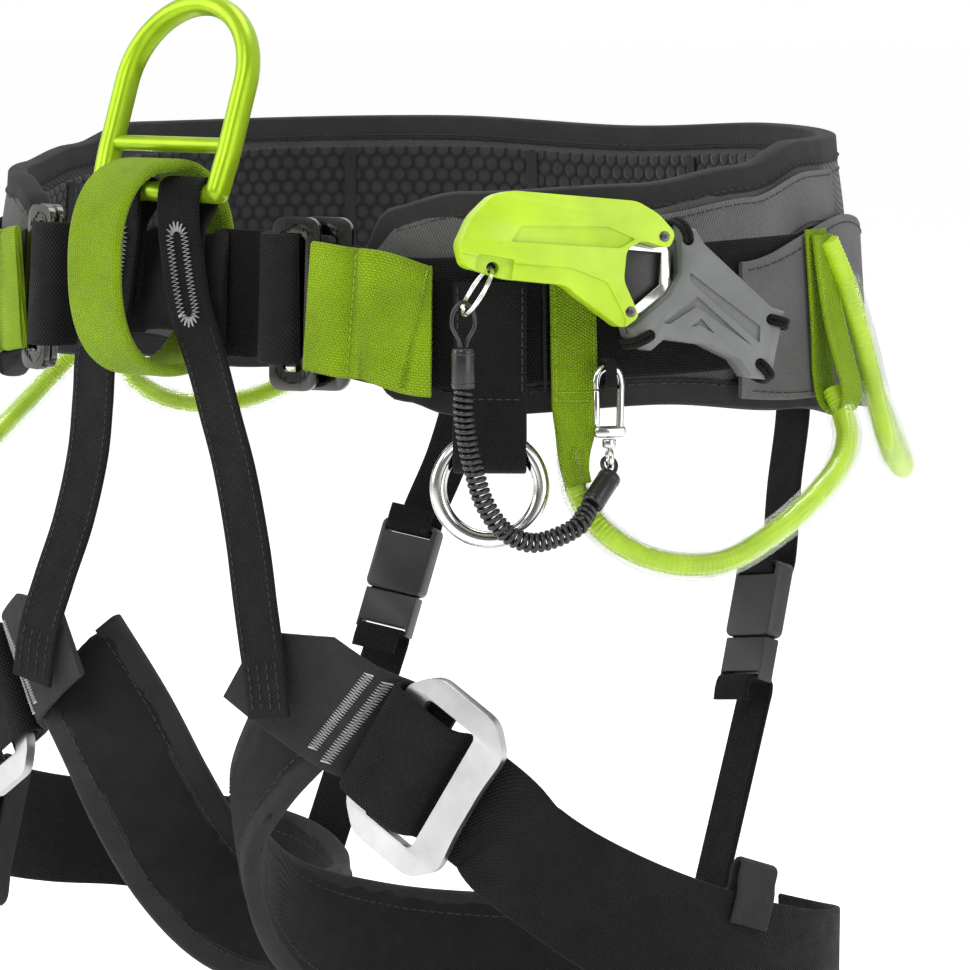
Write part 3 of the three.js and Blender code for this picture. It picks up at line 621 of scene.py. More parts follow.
GROUPS = {
    "weave": plain_weave_group(),
    "twill": twill_group(),
    "cells": cell_group(),
    "mottle": mottle_group(),
}


def use_group(tree, name, inputs):
    node = tree.nodes.new("ShaderNodeGroup")
    node.node_tree = GROUPS[name]
    for key, value in inputs:
        if isinstance(value, bpy.types.NodeSocket):
            tree.links.new(value, node.inputs[key])
        else:
            node.inputs[key].default_value = value
    return node


def start_finish(name, colour, roughness, metallic=0.0, **sockets):
    """A material with its shader, and colour and roughness that vary slowly."""
    material = bpy.data.materials.new(name)
    material.use_nodes = True
    tree = material.node_tree
    shader = tree.nodes["Principled BSDF"]
    shader.inputs["Metallic"].default_value = metallic
    for label, value in sockets.items():
        shader.inputs[label.replace("_", " ")].default_value = value
    spot = tree.nodes.new("ShaderNodeTexCoord")
    patches = use_group(
        tree, "mottle",
        (("Position", spot.outputs["Object"]), ("Scale", 45.0), ("Low", 0.84), ("High", 1.12)),
    )
    tint = scaled(tree, colour, patches.outputs[0])
    tree.links.new(tint, shader.inputs["Base Color"])
    gloss = use_group(
        tree, "mottle",
        (("Position", spot.outputs["Object"]), ("Scale", 120.0),
         ("Low", roughness * 0.85), ("High", min(1.0, roughness * 1.12))),
    )
    tree.links.new(gloss.outputs[0], shader.inputs["Roughness"])
    return material, tree, shader, spot, tint


def bump(tree, shader, height, strength, distance):
    node = add_node(
        tree, "ShaderNodeBump",
        (("Height", height), ("Strength", strength), ("Distance", distance)),
    )
    tree.links.new(node.outputs[0], shader.inputs["Normal"])


def painted_hollow_shade(tree, shader, tint, mask, low):
    """Painted shade: darkens the base colour in the hollows of a weave, to low times the colour at
    the deepest.
    """
    depth = maths(tree, "MULTIPLY_ADD", mask, 1.0 - low, low)
    tree.links.new(scaled(tree, tint, depth), shader.inputs["Base Color"])


def woven(name, colour, roughness, pattern, source, pitches, low, strength, depth, **sockets):
    """Cloth or webbing: a pattern raises its surface, and painted shade darkens its hollows."""
    material, tree, shader, spot, tint = start_finish(name, colour, roughness, **sockets)
    relief = use_group(tree, pattern, (("Position", spot.outputs[source]), *pitches)).outputs[0]
    painted_hollow_shade(tree, shader, tint, relief, low)
    bump(tree, shader, relief, strength, depth)
    return material


def webbing_finish(name, colour, warp, weft, low=0.5, strength=0.7, sheen=0.02):
    return woven(
        # low: how dark the painted shade in the weave's hollows is.
        name, colour, 0.72, "weave", "UV", (("Warp", warp), ("Weft", weft)), low, strength, 0.0008,
        Sheen_Weight=sheen, Sheen_Roughness=0.4, Specular_IOR_Level=0.14,
    )


def cloth_finish(name, colour, ribs, source, low=0.55):
    # low: how dark the painted shade in the twill's hollows is.
    return woven(
        name, colour, 0.82, "twill", source, (("Ribs", ribs),), low, 0.5, 0.0004,
        Sheen_Weight=0.03, Sheen_Roughness=0.5, Specular_IOR_Level=0.14,
    )


def mesh_finish(name, colour, cell):
    # 0.35: painted shade on the low ground between the honeycomb's cells.
    return woven(
        name, colour, 0.8, "cells", "UV", (("Cell", cell),), 0.35, 0.9, 0.0012,
        Sheen_Weight=0.1, Specular_IOR_Level=0.2,
    )


def hard_finish(name, colour, roughness, metallic=0.0, grain=2500.0, depth=0.00003, **sockets):
    material, tree, shader, spot, _ = start_finish(name, colour, roughness, metallic, **sockets)
    speckle = add_node(
        tree, "ShaderNodeTexNoise",
        (("Vector", spot.outputs["Object"]), ("Scale", grain), ("Detail", 3.0)),
    )
    bump(tree, shader, speckle.outputs["Fac"], 0.35, depth)
    return material


def brushed_finish(name, colour, roughness):
    """Metal with fine lines rubbed along it."""
    material, tree, shader, spot, _ = start_finish(name, colour, roughness, 1.0)
    turned = add_node(
        tree, "ShaderNodeMapping", (("Vector", spot.outputs["Object"]), ("Scale", (300, 300, 4000))),
    )
    lines = add_node(
        tree, "ShaderNodeTexNoise", (("Vector", turned.outputs[0]), ("Scale", 1.0), ("Detail", 4.0)),
    )
    bump(tree, shader, lines.outputs["Fac"], 0.5, 0.00006)
    return material


def clear_finish(name):
    sockets = {"IOR": 1.4, "Alpha": 0.22, "Transmission_Weight": 1.0}
    return start_finish(name, (0.95, 1.0, 0.88), 0.04, **sockets)[0]


def make_finishes():
    lime = (0.30, 0.485, 0.006)
    # Each low gives how dark the painted shade in the hollows of that weave or twill is.
    return {
        "black_fabric": cloth_finish("black_fabric", (0.011, 0.011, 0.011), 900.0, "Object"),
        "belt_twill": cloth_finish("belt_twill", (0.085, 0.085, 0.083), 520.0, "Object", low=0.3),
        "grey_twill": cloth_finish("grey_twill", (0.105, 0.106, 0.105), 560.0, "UV", low=0.3),
        "edge_tape": cloth_finish("edge_tape", (0.024, 0.024, 0.024), 800.0, "UV"),
        "mesh_fabric": mesh_finish("mesh_fabric", (0.024, 0.024, 0.025), 0.0062),
        "black_webbing": webbing_finish("black_webbing", (0.009, 0.009, 0.009), 1050.0, 760.0),
        "lime_webbing": webbing_finish(
            "lime_webbing", lime, 1050.0, 880.0, low=0.62, strength=1.0, sheen=0.05),
        "lime_anodised": hard_finish(
            "lime_anodised", (0.30, 0.47, 0.005), 0.38, 0.6, depth=0.00002),
        "lime_plastic": hard_finish(
            "lime_plastic", (0.36, 0.545, 0.008), 0.42, Coat_Weight=0.1, Coat_Roughness=0.35),
        "grey_plastic": hard_finish("grey_plastic", (0.125, 0.131, 0.128), 0.5, grain=4200.0),
        "dark_plastic": hard_finish("dark_plastic", (0.018, 0.018, 0.019), 0.42, grain=4200.0),
        "steel": hard_finish("steel", (0.66, 0.655, 0.64), 0.14, 1.0, depth=0.00001),
        "dark_steel": hard_finish("dark_steel", (0.10, 0.097, 0.09), 0.17, 1.0),
        "brushed_aluminium": brushed_finish("brushed_aluminium", (0.52, 0.52, 0.53), 0.36),
        "black_rubber": hard_finish("black_rubber", (0.007, 0.007, 0.008), 0.3, Coat_Weight=0.12),
        "clear_tube": clear_finish("clear_tube"),
        "grey_thread": hard_finish("grey_thread", (0.50, 0.50, 0.51), 0.7),
        "black_thread": hard_finish("black_thread", (0.010, 0.010, 0.011), 0.6),
        "lime_thread": hard_finish("lime_thread", (0.20, 0.34, 0.01), 0.7),
    }


# The finishes, each under its own name.
FINISHES = make_finishes()


# ---------------------------------------------------------------- coiled lanyard
UPPER_CRIMP = ((139, -135.3, -30.7), (139, -135.3, -17))
LOWER_CRIMP = ((161.69, -95.02, -71.86), (161.78, -84.39, -62.54))
LANYARD_ROUTE = (
    (139, -135.3, -31), (139, -135.3, -37), (138.8, -133.6, -46), (139.8, -131, -58),
    (142, -127.8, -70), (146.6, -122.8, -79.4), (153, -115.8, -83.4),
)
CABLE = 1.8
COIL_RADIUS = 2.7
COIL_PITCH = 2.12
TURN_POINTS = 14


def lanyard_line():
    start, end = (Vector(p) for p in LOWER_CRIMP)
    back = (start - end).normalized()
    route = [*LANYARD_ROUTE, *(start + back * before for before in (10, 4, 0.3))]
    return smooth_path(route, 1.0)


def make_lanyard():
    core = Run(lanyard_line())
    turns = round((core.length - 2.0) / COIL_PITCH)
    helix = []
    for i in range(turns * TURN_POINTS + 1):
        share = i / (turns * TURN_POINTS)
        turn = 2 * math.pi * turns * share
        from_end = min(share, 1 - share) * turns
        radius = COIL_RADIUS * min(1.0, 0.9 + 0.1 * from_end)
        distance = 0.5 + (core.length - 1.0) * share
        helix.append(core.at(distance, radius * math.cos(turn), radius * math.sin(turn)))
    coil = Run(helix).piece("lanyard_cable", round_section(CABLE / 2, 8))
    dress(coil, None, "black_rubber", "lanyard_coil")
    for name, (start, end), far, body in (
        ("upper", UPPER_CRIMP, (139, -135.3, -1.6), "rescue_tool"),
        ("lower", LOWER_CRIMP, (158.6, -82.3, -56.9), "saddle"),
    ):
        cable_end(name, Vector(start), Vector(end), Vector(far), body)
    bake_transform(coil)


def cable_end(name, start, end, far, body):
    """A crimped sleeve and the loop of cable that comes out of it."""
    sleeve = rod(f"crimp_{name}", start, end, 3.95, sides=40, bevel=0.9)
    middle = start.lerp(end, 0.5)
    axis = (end - start).normalized()
    bands = [
        rod(f"crimp_{name}_band", middle + axis * (s - 0.5), middle + axis * (s + 0.5), 4.05,
            sides=40, bevel=0.3)
        for s in (-5.0, 5.0)
    ]
    across = Vector((0.593, 0.786, 0)) if name == "upper" else Vector((0.613, 0.79, 0))
    inside = end.lerp(start, 0.15)
    spots = [inside + across * 0.9]
    widest, near_far = (4.0, 2.9) if name == "upper" else (2.4, 1.8)
    half = ((0.12, 1.2), (0.5, widest), (0.86, near_far))
    spots += [end.lerp(far, share) + across * wide for share, wide in half]
    spots += [far]
    spots += [end.lerp(far, share) - across * wide for share, wide in reversed(half)]
    spots += [inside - across * 0.9]
    loop = Run(smooth_path(spots, 0.8)).piece(f"cable_loop_{name}", round_section(0.75, 10))
    piece = join(f"lanyard_{name}_end", sleeve, *bands, loop)
    return dress(piece, body, "black_rubber", f"lanyard_end_{name}")


make_lanyard()


# ---------------------------------------------------------------- hip belt
PAD_TOP = ((28, 14), (32, 27), (40, 32), (64, 34.5), (82, 40), (96, 48), (150, 50), (180, 47))
PAD_BOTTOM = ((28, -22), (32, -37), (40, -43), (66, -40), (90, -45), (120, -54), (180, -60))
PANEL_TOP = ((78, 8), (104, 22), (128, 14))
WEBBING_LINE = ((0, 0), (10, -1), (22, -6), (35, -12), (60, -8), (90, -6), (180, -6))


def folded(angle):
    return abs(360 - angle if angle > 180 else angle)


def pad_top(angle):
    return eased(PAD_TOP, folded(angle))


def pad_bottom(angle):
    return eased(PAD_BOTTOM, folded(angle))


def webbing_height(angle):
    return eased(WEBBING_LINE, folded(angle))


def belt_run(start, end, out, height, step=3.0):
    """A run round the belt. Its across direction is up the belt."""
    count = 90
    fine = []
    for i in range(count + 1):
        angle = start + (end - start) * i / count
        level = height(angle) if callable(height) else height
        fine.append(on_belt(angle, out, level))

    def upwards(point, tangent, share):
        radial = Vector((point.x, point.y, 0)).normalized()
        return Vector((0, 0, 1)) - radial * BELT_FLARE

    return Run(even(fine, step), upwards)


def belt_panel(name, start, end, low, high, out, thickness, body, finish, *stands_for):
    """A sheet lying round the belt, between two heights."""
    run = belt_run(start, end, out, lambda a: (low(a) + high(a)) / 2, 2.5)
    width = high((start + end) / 2) - low((start + end) / 2)

    def shape(share):
        angle = start + (end - start) * share
        return ((high(angle) - low(angle)) / width, 1.0)

    return strap(name, run, width, thickness, body, finish, *stands_for, scale=shape)


def inflate(node, name, cap, keep, finish, voxel=5.0, steps=20, pressure=4.0):
    """Swells a soft CAD solid by cloth simulation. keep(point) is true where it is sewn flat."""
    obj = cad_copy(node, name)
    apply_modifier(obj, "REMESH", mode="VOXEL", voxel_size=voxel * MM)
    rest = [v.co.copy() for v in obj.data.vertices]
    pins = obj.vertex_groups.new(name="sewn")
    sewn = [i for i, co in enumerate(rest) if keep(co / MM)]
    if sewn:
        pins.add(sewn, 1.0, "REPLACE")
    choose(obj)
    cloth = obj.modifiers.new("cloth", "CLOTH")
    cloth.settings.effector_weights.gravity = 0.0
    cloth.settings.use_pressure = True
    cloth.settings.uniform_pressure_force = pressure
    cloth.settings.quality = 5
    cloth.settings.vertex_group_mass = "sewn"
    cloth.settings.tension_stiffness = 12
    cloth.settings.compression_stiffness = 12
    cloth.point_cache.frame_start, cloth.point_cache.frame_end = 1, steps
    for step in range(1, steps + 1):
        bpy.context.scene.frame_set(step)
    choose(obj)
    bpy.ops.object.modifier_apply(modifier=cloth.name)
    bpy.context.scene.frame_set(1)
    for vertex, start in zip(obj.data.vertices, rest):
        move = vertex.co - start
        if move.length > cap * MM:
            vertex.co = start + move.normalized() * cap * MM
    obj.vertex_groups.clear()
    apply_modifier(obj, "SUBSURF", levels=1, render_levels=1)
    smooth(obj, 60)
    dress(obj, "saddle", finish, node)
    return obj


def hip_pad_sewn(point):
    """True at the pad's edges, its front ends and its two channels of quilting."""
    turn = math.atan2(point.x / WAIST_HALF_WIDTH, -point.y / WAIST_HALF_DEPTH)
    angle = abs(math.degrees(turn))
    above, below = point.z - pad_bottom(angle), pad_top(angle) - point.z
    return (
        above < 8 or below < 8 or abs(above - 13) < 2.4 or abs(below - 14) < 2.4 or angle < 30
    )


def tape_fold(sign, reach, gap, height, bulge, back, inner):
    """The cut end of a tape folded over an edge, gap apart where it comes back by reach."""
    turns = [math.radians(turn) for turn in range(-90, 91, 18)]
    outline = [(sign * (bulge * math.cos(a) - back), height * math.sin(a)) for a in turns]
    edge = sign * -reach
    inside = [(x - sign * 0.8, y * inner) for x, y in reversed(outline)]
    return [(edge, -gap), *outline, (edge, gap), (edge, gap - 0.8), *inside, (edge, 0.8 - gap)]


def edge_binding(name, side):
    """Tape folded over the pad's top, front and bottom edges."""
    spots = [
        on_belt(angle * side, 4.4, height) for angle, height in (
            *((angle, pad_top(angle)) for angle in range(181, 30, -3)),
            (29.2, pad_top(29.5) - 3), (28.0, 6), (28.0, -14), (29.2, pad_bottom(29.5) + 3),
            *((angle, pad_bottom(angle)) for angle in range(32, 183, 3)),
        )
    ]

    def inwards(point, tangent, share):
        return Vector((point.x, point.y, 0)).normalized().cross(tangent)

    run = Run(smooth_path(spots, 3.2), inwards)
    sign = 1 if run.sides[10].z > 0 else -1
    dress(run.piece(name, tape_fold(sign, 8.5, 4.6, 3.9, 1.2, 0.2, 0.8)), "saddle", "edge_tape")
    return run, sign


def make_hip_belt():
    cushion = inflate("hip_pad", "hip_cushion", 2.4, hip_pad_sewn, "belt_twill")
    belt_panel(
        "spacer_mesh_lining", 58, 302, lambda a: pad_bottom(a) + 13, lambda a: pad_top(a) - 11,
        -2.6, 1.9, "saddle", "mesh_fabric", "pad_lining",
    )
    for angle in range(75, 286, 30):
        heights = (pad_bottom(angle) + 14, -4, pad_top(angle) - 12)
        rib = Run(smooth_path([on_belt(angle, -4.4, z) for z in heights], 2.5), round_belt)
        strap(f"lining_tape_{angle}", rib, 5, 0.7, "saddle", "edge_tape", wobble=0.25)
    back = belt_run(25.8, 334.2, 11.4, webbing_height)
    strap(
        "waist_webbing_back", back, WEBBING_WIDTH, 2.0, "saddle", "black_webbing",
        "rear_belt_webbing",
    )
    lines = []
    for label, side in SIDES:
        run, sign = edge_binding(f"edge_binding_{label}", side)
        lines += seam(run, 4, run.length - 4, sign * -7.0, 4.75)
        lines += seam(run, 4, run.length - 4, sign * -7.0, -4.75)
        outer = belt_run(62 * side, 176 * side, 11.0, lambda a: pad_top(a) - 12)
        lines += [laid(line, [cushion]) for line in seam(outer, 2, outer.length - 2, 0, 0)]
    thread("belt_edge_stitching", lines, THREAD, "saddle", "black_thread")


def panel_low(angle):
    return pad_bottom(angle) + 3


def panel_high(angle):
    return eased(PANEL_TOP, folded(angle))


def make_side_panels():
    lines = []
    for label, side in SIDES:
        belt_panel(
            f"wing_panel_{label}", 78 * side, 128 * side, panel_low, panel_high, 14.1, 2.0,
            "saddle", "grey_twill", f"side_panel_{label}",
        )
        for height, inset in ((panel_high, -3), (panel_low, 3)):
            run = belt_run(79.5 * side, 126.5 * side, 15.2, lambda a: height(a) + inset)
            out = outwards_sign(run, 5, run.path[5])
            lines += seam(run, 0, run.length, 0, out * 0.05)
        upper = belt_run(66 * side, 104 * side, 11.2, lambda a: pad_top(a) - 20)
        strap(f"wing_webbing_{label}", upper, 20, 1.6, "saddle", "grey_twill")
        out = outwards_sign(upper, 5, upper.path[5])
        lines += seams(upper, 2, upper.length - 2, (8, -8), out * 0.85)
    thread("wing_panel_stitching", lines, THREAD, "saddle", "black_thread")


make_hip_belt()
make_side_panels()


# ---------------------------------------------------------------- waist closure
TAB_TOP = ((22, 16.5), (29, 14.2), (37, 8.5))
TAB_BOTTOM = ((22, -28.5), (29, -31), (37, -36.5))


def raised_marks(angle, out, z, reach):
    """Raised curved ribs on the ends of a buckle plate."""
    place = belt_place(angle, out, z)
    turns = [math.pi * k / 12 for k in range(13)]
    lines = []
    for end in (1, -1):
        for radius in (2.2, 3.6, 5.0):
            lines.append([
                place @ Vector((
                    radius * 1.3 * math.cos(a), -1.25,
                    end * (reach - 1.8 - radius * (1 - abs(math.sin(a)))),
                ))
                for a in turns
            ])
    return lines


def make_waist_closure():
    route = (
        (7.5, -0.2), (11, -0.2), (14, 0.2), (15.6, 3.5), (16, 9), (16.5, 14.6), (18, 17.7),
        (19.8, 18.2), (20.9, 17), (21.1, 14.8),
    )
    for label, side in SIDES:
        middle = webbing_height(17)
        points = [on_belt(angle * side, out, middle) for angle, out in route]
        upright = on_belt(17 * side, 0, 1) - on_belt(17 * side, 0, 0)
        run = flat_run(points, 1.2, upright)
        strap(
            f"waist_webbing_front_{label}", run, WEBBING_WIDTH, 1.6, "saddle", "black_webbing",
            f"front_webbing_{label}", wobble=0.1,
        )
        for node, name, body, angle, out in (
            ("front", "inner", f"waist_buckle_{label}", 20.8, 14.4),
            ("rear", "outer", "saddle", 23.6, 7.4),
        ):
            plate = refined(f"buckle_{node}_plate_{label}", f"waist_plate_{name}_{label}", 0.6)
            dress(plate, body, "dark_steel", f"buckle_{node}_plate_{label}")
            z = webbing_height(21 if node == "front" else 23)
            marks = raised_marks(angle * side, out, z, 29)
            thread(f"waist_plate_ribs_{name}_{label}", marks, 0.42, body, "dark_steel")
        waist_tab(label, side)


def waist_tab(label, side):
    """The pull tab: webbing folded back on itself, with a crease and a zigzag seam."""
    count, first, sweep, crease = 60, 22.9, 14.3, 28.2
    fine = []
    for i in range(count + 1):
        angle = first + sweep * i / count
        dip = 1.1 * math.exp(-((angle - crease) ** 2))
        bulge = 0.7 * math.sin(min(1.0, (angle - first) / 5.0) * math.pi)
        low, high = eased(TAB_BOTTOM, angle), eased(TAB_TOP, angle)
        fine.append(on_belt(angle * side, 18.3 - dip + bulge, (low + high) / 2))
    run = Run(even(fine, 1.0), lambda point, tangent, share: Vector((0, 0, 1)))
    strap(
        f"waist_pull_tab_{label}", run, WEBBING_WIDTH, 3.0, "saddle", "lime_webbing",
        f"waist_tab_{label}", wobble=0.15,
    )
    sign = outwards_sign(run, 5, (fine[5].x, fine[5].y, 0))
    edge = run.length - 5.5
    lines = [zigzag([(edge, -21 + 42 * k / 64) for k in range(65)], 0.8, sign * 1.6, run.at)]
    for k in range(15):
        low = -20.5 + k * 2.8
        lines.append([run.at(16.2, low + step, sign * 1.6) for step in (0, 0.6, 1.2, 1.8)])
    thread(f"waist_tab_stitching_{label}", lines, 0.28, "saddle", "lime_thread")


make_waist_closure()


# ---------------------------------------------------------------- front bridge, risers and ring
RISER_OFFSET = 14.6
RING_BAR = (-138.0, 31.0)
RING_LEAN = math.radians(20)


def riser_run(side):
    x, turn = RISER_OFFSET, 4.9
    bar_y, bar_z = RING_BAR
    points = (
        (x + 3, -141, -8), (x, -141, 10), (x, -139.6, 19), (x, bar_y + turn - 1, bar_z - 5),
        (x, bar_y + turn, bar_z), (x, bar_y + turn * 0.7, bar_z + turn * 0.7),
        (x, bar_y, bar_z + turn), (x, bar_y - turn * 0.7, bar_z + turn * 0.7),
        (x, bar_y - turn, bar_z), (x, -143.1, 19), (x + 2, -143.2, 6), (x + 5, -143.2, -8),
        (x + 13, -143, -28), (x + 17, -141, -45), (x + 22, -139, -65), (x + 29, -140, -90),
        (x + 36, -143.4, -112), (x + 42, -146, -132), (x + 45, -146.5, -150),
    )
    return flat_run(mirrored(points, side), 1.4, Vector((1, 0, 0)))


def bartack_oval(run, centre, half_length, half_width, lift):
    """A long oval of zigzag stitching on a strap."""
    straight = half_length - half_width
    outline = [
        Vector((centre + middle + half_width * math.cos(a), half_width * math.sin(a), 0))
        for middle, first in ((straight, -90), (-straight, 90))
        for a in [math.radians(turn) for turn in range(first, first + 181, 15)]
    ]
    outline.append(outline[0])
    return zigzag([spot.xy for spot in even(outline, 0.72)], 1.5, lift, run.at)


def make_risers():
    stitches, tacks = [], []
    for label, side in SIDES:
        run = riser_run(side)
        strap(
            f"riser_webbing_{label}", run, 20, 1.7, "saddle", "black_webbing",
            f"riser_{label}",
        )
        near = nearest(run.path, ((RISER_OFFSET + 3) * side, -143.3, 3))
        sign = outwards_sign(run, near, (0, -1, 0))
        tacks.append(bartack_oval(run, run.along[near], 17, 3.6, sign * 1.3))
        edge = run.along[near] + 22
        lift = sign * 0.95
        stitches += seams(run, edge, run.length - 22, (-7.6, 7.6), lift, 2.0, 0.9)
        rows = (-6.5, -2.2, 2.2, 6.5)
        stitches += seams(run, run.length - 19, run.length - 2, rows, lift, 2.0, 0.9)
    thread("riser_bartacks", tacks, 0.4, "saddle", "grey_thread")
    thread("riser_stitching", stitches, 0.24, "saddle", "black_thread")


def bridge_sewn(point):
    return abs(point.x) > 24


def ring_run():
    """The line of the ring's horseshoe, and the turn that leans it over."""
    reach, height = 29.3, 40.5
    left = [(-reach + 1, -3.4 + 2.0 * i) for i in range(3)]
    legs = [(-reach + 1 - min(1, z / 14), z) for z in range(3, 41, 3)]
    turns = [math.pi * i / 40 for i in range(1, 21)]
    half = left + legs + [(-reach * math.cos(a), height + reach * math.sin(a)) for a in turns]
    flat = half + [(-x, z) for x, z in reversed(half[:-1])]
    lean = Matrix.Rotation(-RING_LEAN, 3, "X")
    origin = Vector((0, *RING_BAR))
    return [origin + lean @ Vector((x, 0, z)) for x, z in flat], lean


def make_ring():
    path, lean = ring_run()
    run = flat_run(path, 1.2, lean @ Vector((0, 1, 0)))
    section = []
    for i in range(48):
        turn = 2 * math.pi * i / 48
        c, s = math.cos(turn), math.sin(turn)
        section.append((
            4.5 * math.copysign(abs(c) ** 0.85, c), 3.7 * math.copysign(abs(s) ** 0.85, s),
        ))

    def tips(share):
        near = min(share, 1 - share) * run.length
        size = 1.0 if near > 3.7 else math.sqrt(max(0.02, 1 - ((3.7 - near) / 3.7) ** 2))
        return (size, size)

    hoop = run.piece("ring_hoop", section, scale=tips)
    origin = Vector((0, *RING_BAR))
    bars = [
        rod("ring_bar", origin + lean @ Vector((-29, 0, z)), origin + lean @ Vector((29, 0, z)),
            radius, sides=40)
        for z, radius in ((0, 3.5), (17.6, 2.8))
    ]
    dress(join("front_ring", hoop, *bars), "ring", "lime_anodised", "tie_in_ring")


def make_belay_loop():
    count, thickness = 120, 4.4
    path = []
    for i in range(count):
        turn = 2 * math.pi * i / count
        c, s = math.cos(turn), math.sin(turn)
        y = -141.5 + (31 - thickness / 2) * math.copysign(abs(c) ** 0.84, c)
        z = 4.5 + (38.5 - thickness / 2) * math.copysign(abs(s) ** 0.84, s)
        path.append(Vector((0, y, z)))
    run = Run(path, lambda point, tangent, share: Vector((1, 0, 0)), closed=True)
    strap(
        "belay_loop_webbing", run, 25, 4.2, "belay", "lime_webbing", "belay_loop",
    )
    lines = seams(run, 0, run.length, (-10.4, 10.4), 2.12, 2.2, 0.9)
    thread("belay_loop_stitching", lines, THREAD, "belay", "lime_thread")


make_risers()
make_ring()
make_belay_loop()
inflate(
    "front_bridge", "front_bridge_pad", 1.2, bridge_sewn, "black_fabric", voxel=2.0, steps=10,
)


# ---------------------------------------------------------------- plates and places
def placed(obj, place):
    """Moves a piece made about the origin to its place and fixes it there."""
    matrix = place.copy()
    matrix.translation = matrix.translation * MM
    obj.matrix_world = matrix @ obj.matrix_world
    settle(obj)
    return obj


def rounded(points, radius, steps=4):
    """The outline with its corners rounded."""
    result = []
    for i, corner in enumerate(points):
        corner = Vector(corner)
        legs = (Vector(points[i - 1]) - corner, Vector(points[(i + 1) % len(points)]) - corner)
        start, end = (corner + leg.normalized() * min(radius, leg.length * 0.45) for leg in legs)
        for k in range(steps + 1):
            s = k / steps
            result.append(start * (1 - s) ** 2 + corner * 2 * s * (1 - s) + end * s * s)
    return result


def plate(name, outline, y, depth, bevel=0.0, segments=3, holes=()):
    """A plate cut to an outline of (x, z) points, with its middle at the given y."""
    curve = bpy.data.curves.new(name, "CURVE")
    curve.dimensions = "2D"
    curve.fill_mode = "BOTH"
    curve.extrude = depth / 2 * MM
    for loop in (outline, *holes):
        spline = curve.splines.new("POLY")
        spline.points.add(len(loop) - 1)
        spline.use_cyclic_u = True
        for spot, (x, z) in zip(spline.points, loop):
            spot.co = (x * MM, z * MM, 0, 1)
    obj = meshed(name, curve)
    obj.matrix_world = Matrix.Translation((0, y * MM, 0)) @ Matrix.Rotation(math.pi / 2, 4, "X")
    settle(obj)
    merge(obj, 1e-7, outwards=True)
    if bevel:
        soften(obj, bevel, segments)
    return obj


def block(name, size, centre, bevel=0.0):
    deselect()
    bpy.ops.mesh.primitive_cube_add(size=1, location=Vector(centre) * MM)
    obj = bpy.context.object
    obj.name = name
    obj.scale = Vector(size) * MM
    settle(obj)
    if bevel:
        soften(obj, bevel)
    return obj


def hoop(name, radius, wire, place, around=96, sides=24):
    """A ring of round wire, square to the local Y axis."""
    deselect()
    bpy.ops.mesh.primitive_torus_add(
        major_radius=radius * MM, minor_radius=wire * MM, major_segments=around,
        minor_segments=sides, rotation=(math.pi / 2, 0, 0),
    )
    obj = bpy.context.object
    obj.name = name
    settle(obj)
    smooth(placed(obj, place), 60)
    return obj


# ---------------------------------------------------------------- side rings and their hangers
def make_side_rings():
    lines = []
    for label, side in SIDES:
        place = belt_place(44 * side, 17.6, 0)
        spots = [
            (1.0, 4), (1.0, -20), (1.2, -37), (3.4, -43), (5.6, -49), (5.7, -53), (5.6, -56),
            (4.0, -60), (0, -61.6), (-4.0, -60), (-5.6, -56), (-5.7, -53), (-5.6, -49),
            (-3.2, -42.5), (-0.9, -36), (-0.7, -20), (-0.7, 3),
        ]
        points = [place @ Vector((0, y, z)) for y, z in spots]
        run = flat_run(points, 1.5, place.to_3x3() @ Vector((1, 0, 0)))
        strap(
            f"hanger_tape_{label}", run, 25, 1.6, "saddle", "black_webbing",
            f"ring_hanger_{label}",
        )
        for x in (-11, 11):
            for z in range(-34, 2, 3):
                lines.append([place @ Vector((x, y, z + dz))
                              for dz, y in ((0, -1.4), (0.6, -1.75), (1.6, -1.75), (2.1, -1.4))])
        for x in range(-10, 10, 3):
            lines.append([place @ Vector((x + dx, y, -37))
                          for dx, y in ((0, -1.6), (0.6, -2.0), (1.6, -2.0), (2.1, -1.6))])
        ring = hoop(f"side_ring_steel_{label}", 17.6, 2.9, place @ Matrix.Translation((0, 0, -67.4)))
        dress(ring, f"side_ring_{label}", "steel", f"steel_ring_{label}")
    thread("hanger_stitching", lines, THREAD, "saddle", "black_thread")


# ---------------------------------------------------------------- gear loops
# Routes round the belt: angle, out and height.
FRONT_GEAR = (
    (53.4, 17, -55), (53.8, 19, -68), (56, 22.5, -80), (60, 27, -89), (65, 31, -93),
    (70, 33, -92), (76, 34, -84), (82, 34, -74), (88, 33, -62), (91, 30, -53),
    (92.6, 25, -46), (93.4, 20.5, -39),
)
REAR_GEAR = (
    (93.8, 21, 14), (96, 23.5, 0), (98.5, 26, -22), (101, 27.5, -44), (104, 28, -60),
    (110, 27.5, -70), (118, 26, -72), (125, 24, -66), (131, 22, -54), (134, 20.5, -40),
)
GEAR_TAPE = (
    (54.2, 14.2, 12), (54.2, 14.2, -20), (54.2, 14.3, -40), (54.0, 16.0, -48),
    (53.6, 18.4, -55), (53.6, 19.6, -61), (53.9, 20.2, -66),
)
GEAR_HOLDER = (
    (93.2, 16.8, 18), (93.2, 17.2, 0), (93.3, 17.2, -20), (93.4, 16.8, -34),
    (93.5, 18.6, -43), (93.6, 23, -46.5), (93.7, 27, -43), (93.7, 27.6, -36),
    (93.6, 25.6, -28), (93.4, 22.6, -14), (93.4, 20.6, 2), (93.4, 19.4, 16),
)
GEAR_TAIL = (
    (137, 12.6, -8), (136.5, 12.8, -22), (135.4, 15.0, -32), (134, 18.6, -39.5),
    (132.6, 20.8, -46), (131, 22.0, -53),
)
RIB_PITCH = 1.7


def gear_path(route, side, step):
    return smooth_path([on_belt(angle * side, out, z) for angle, out, z in route], step)


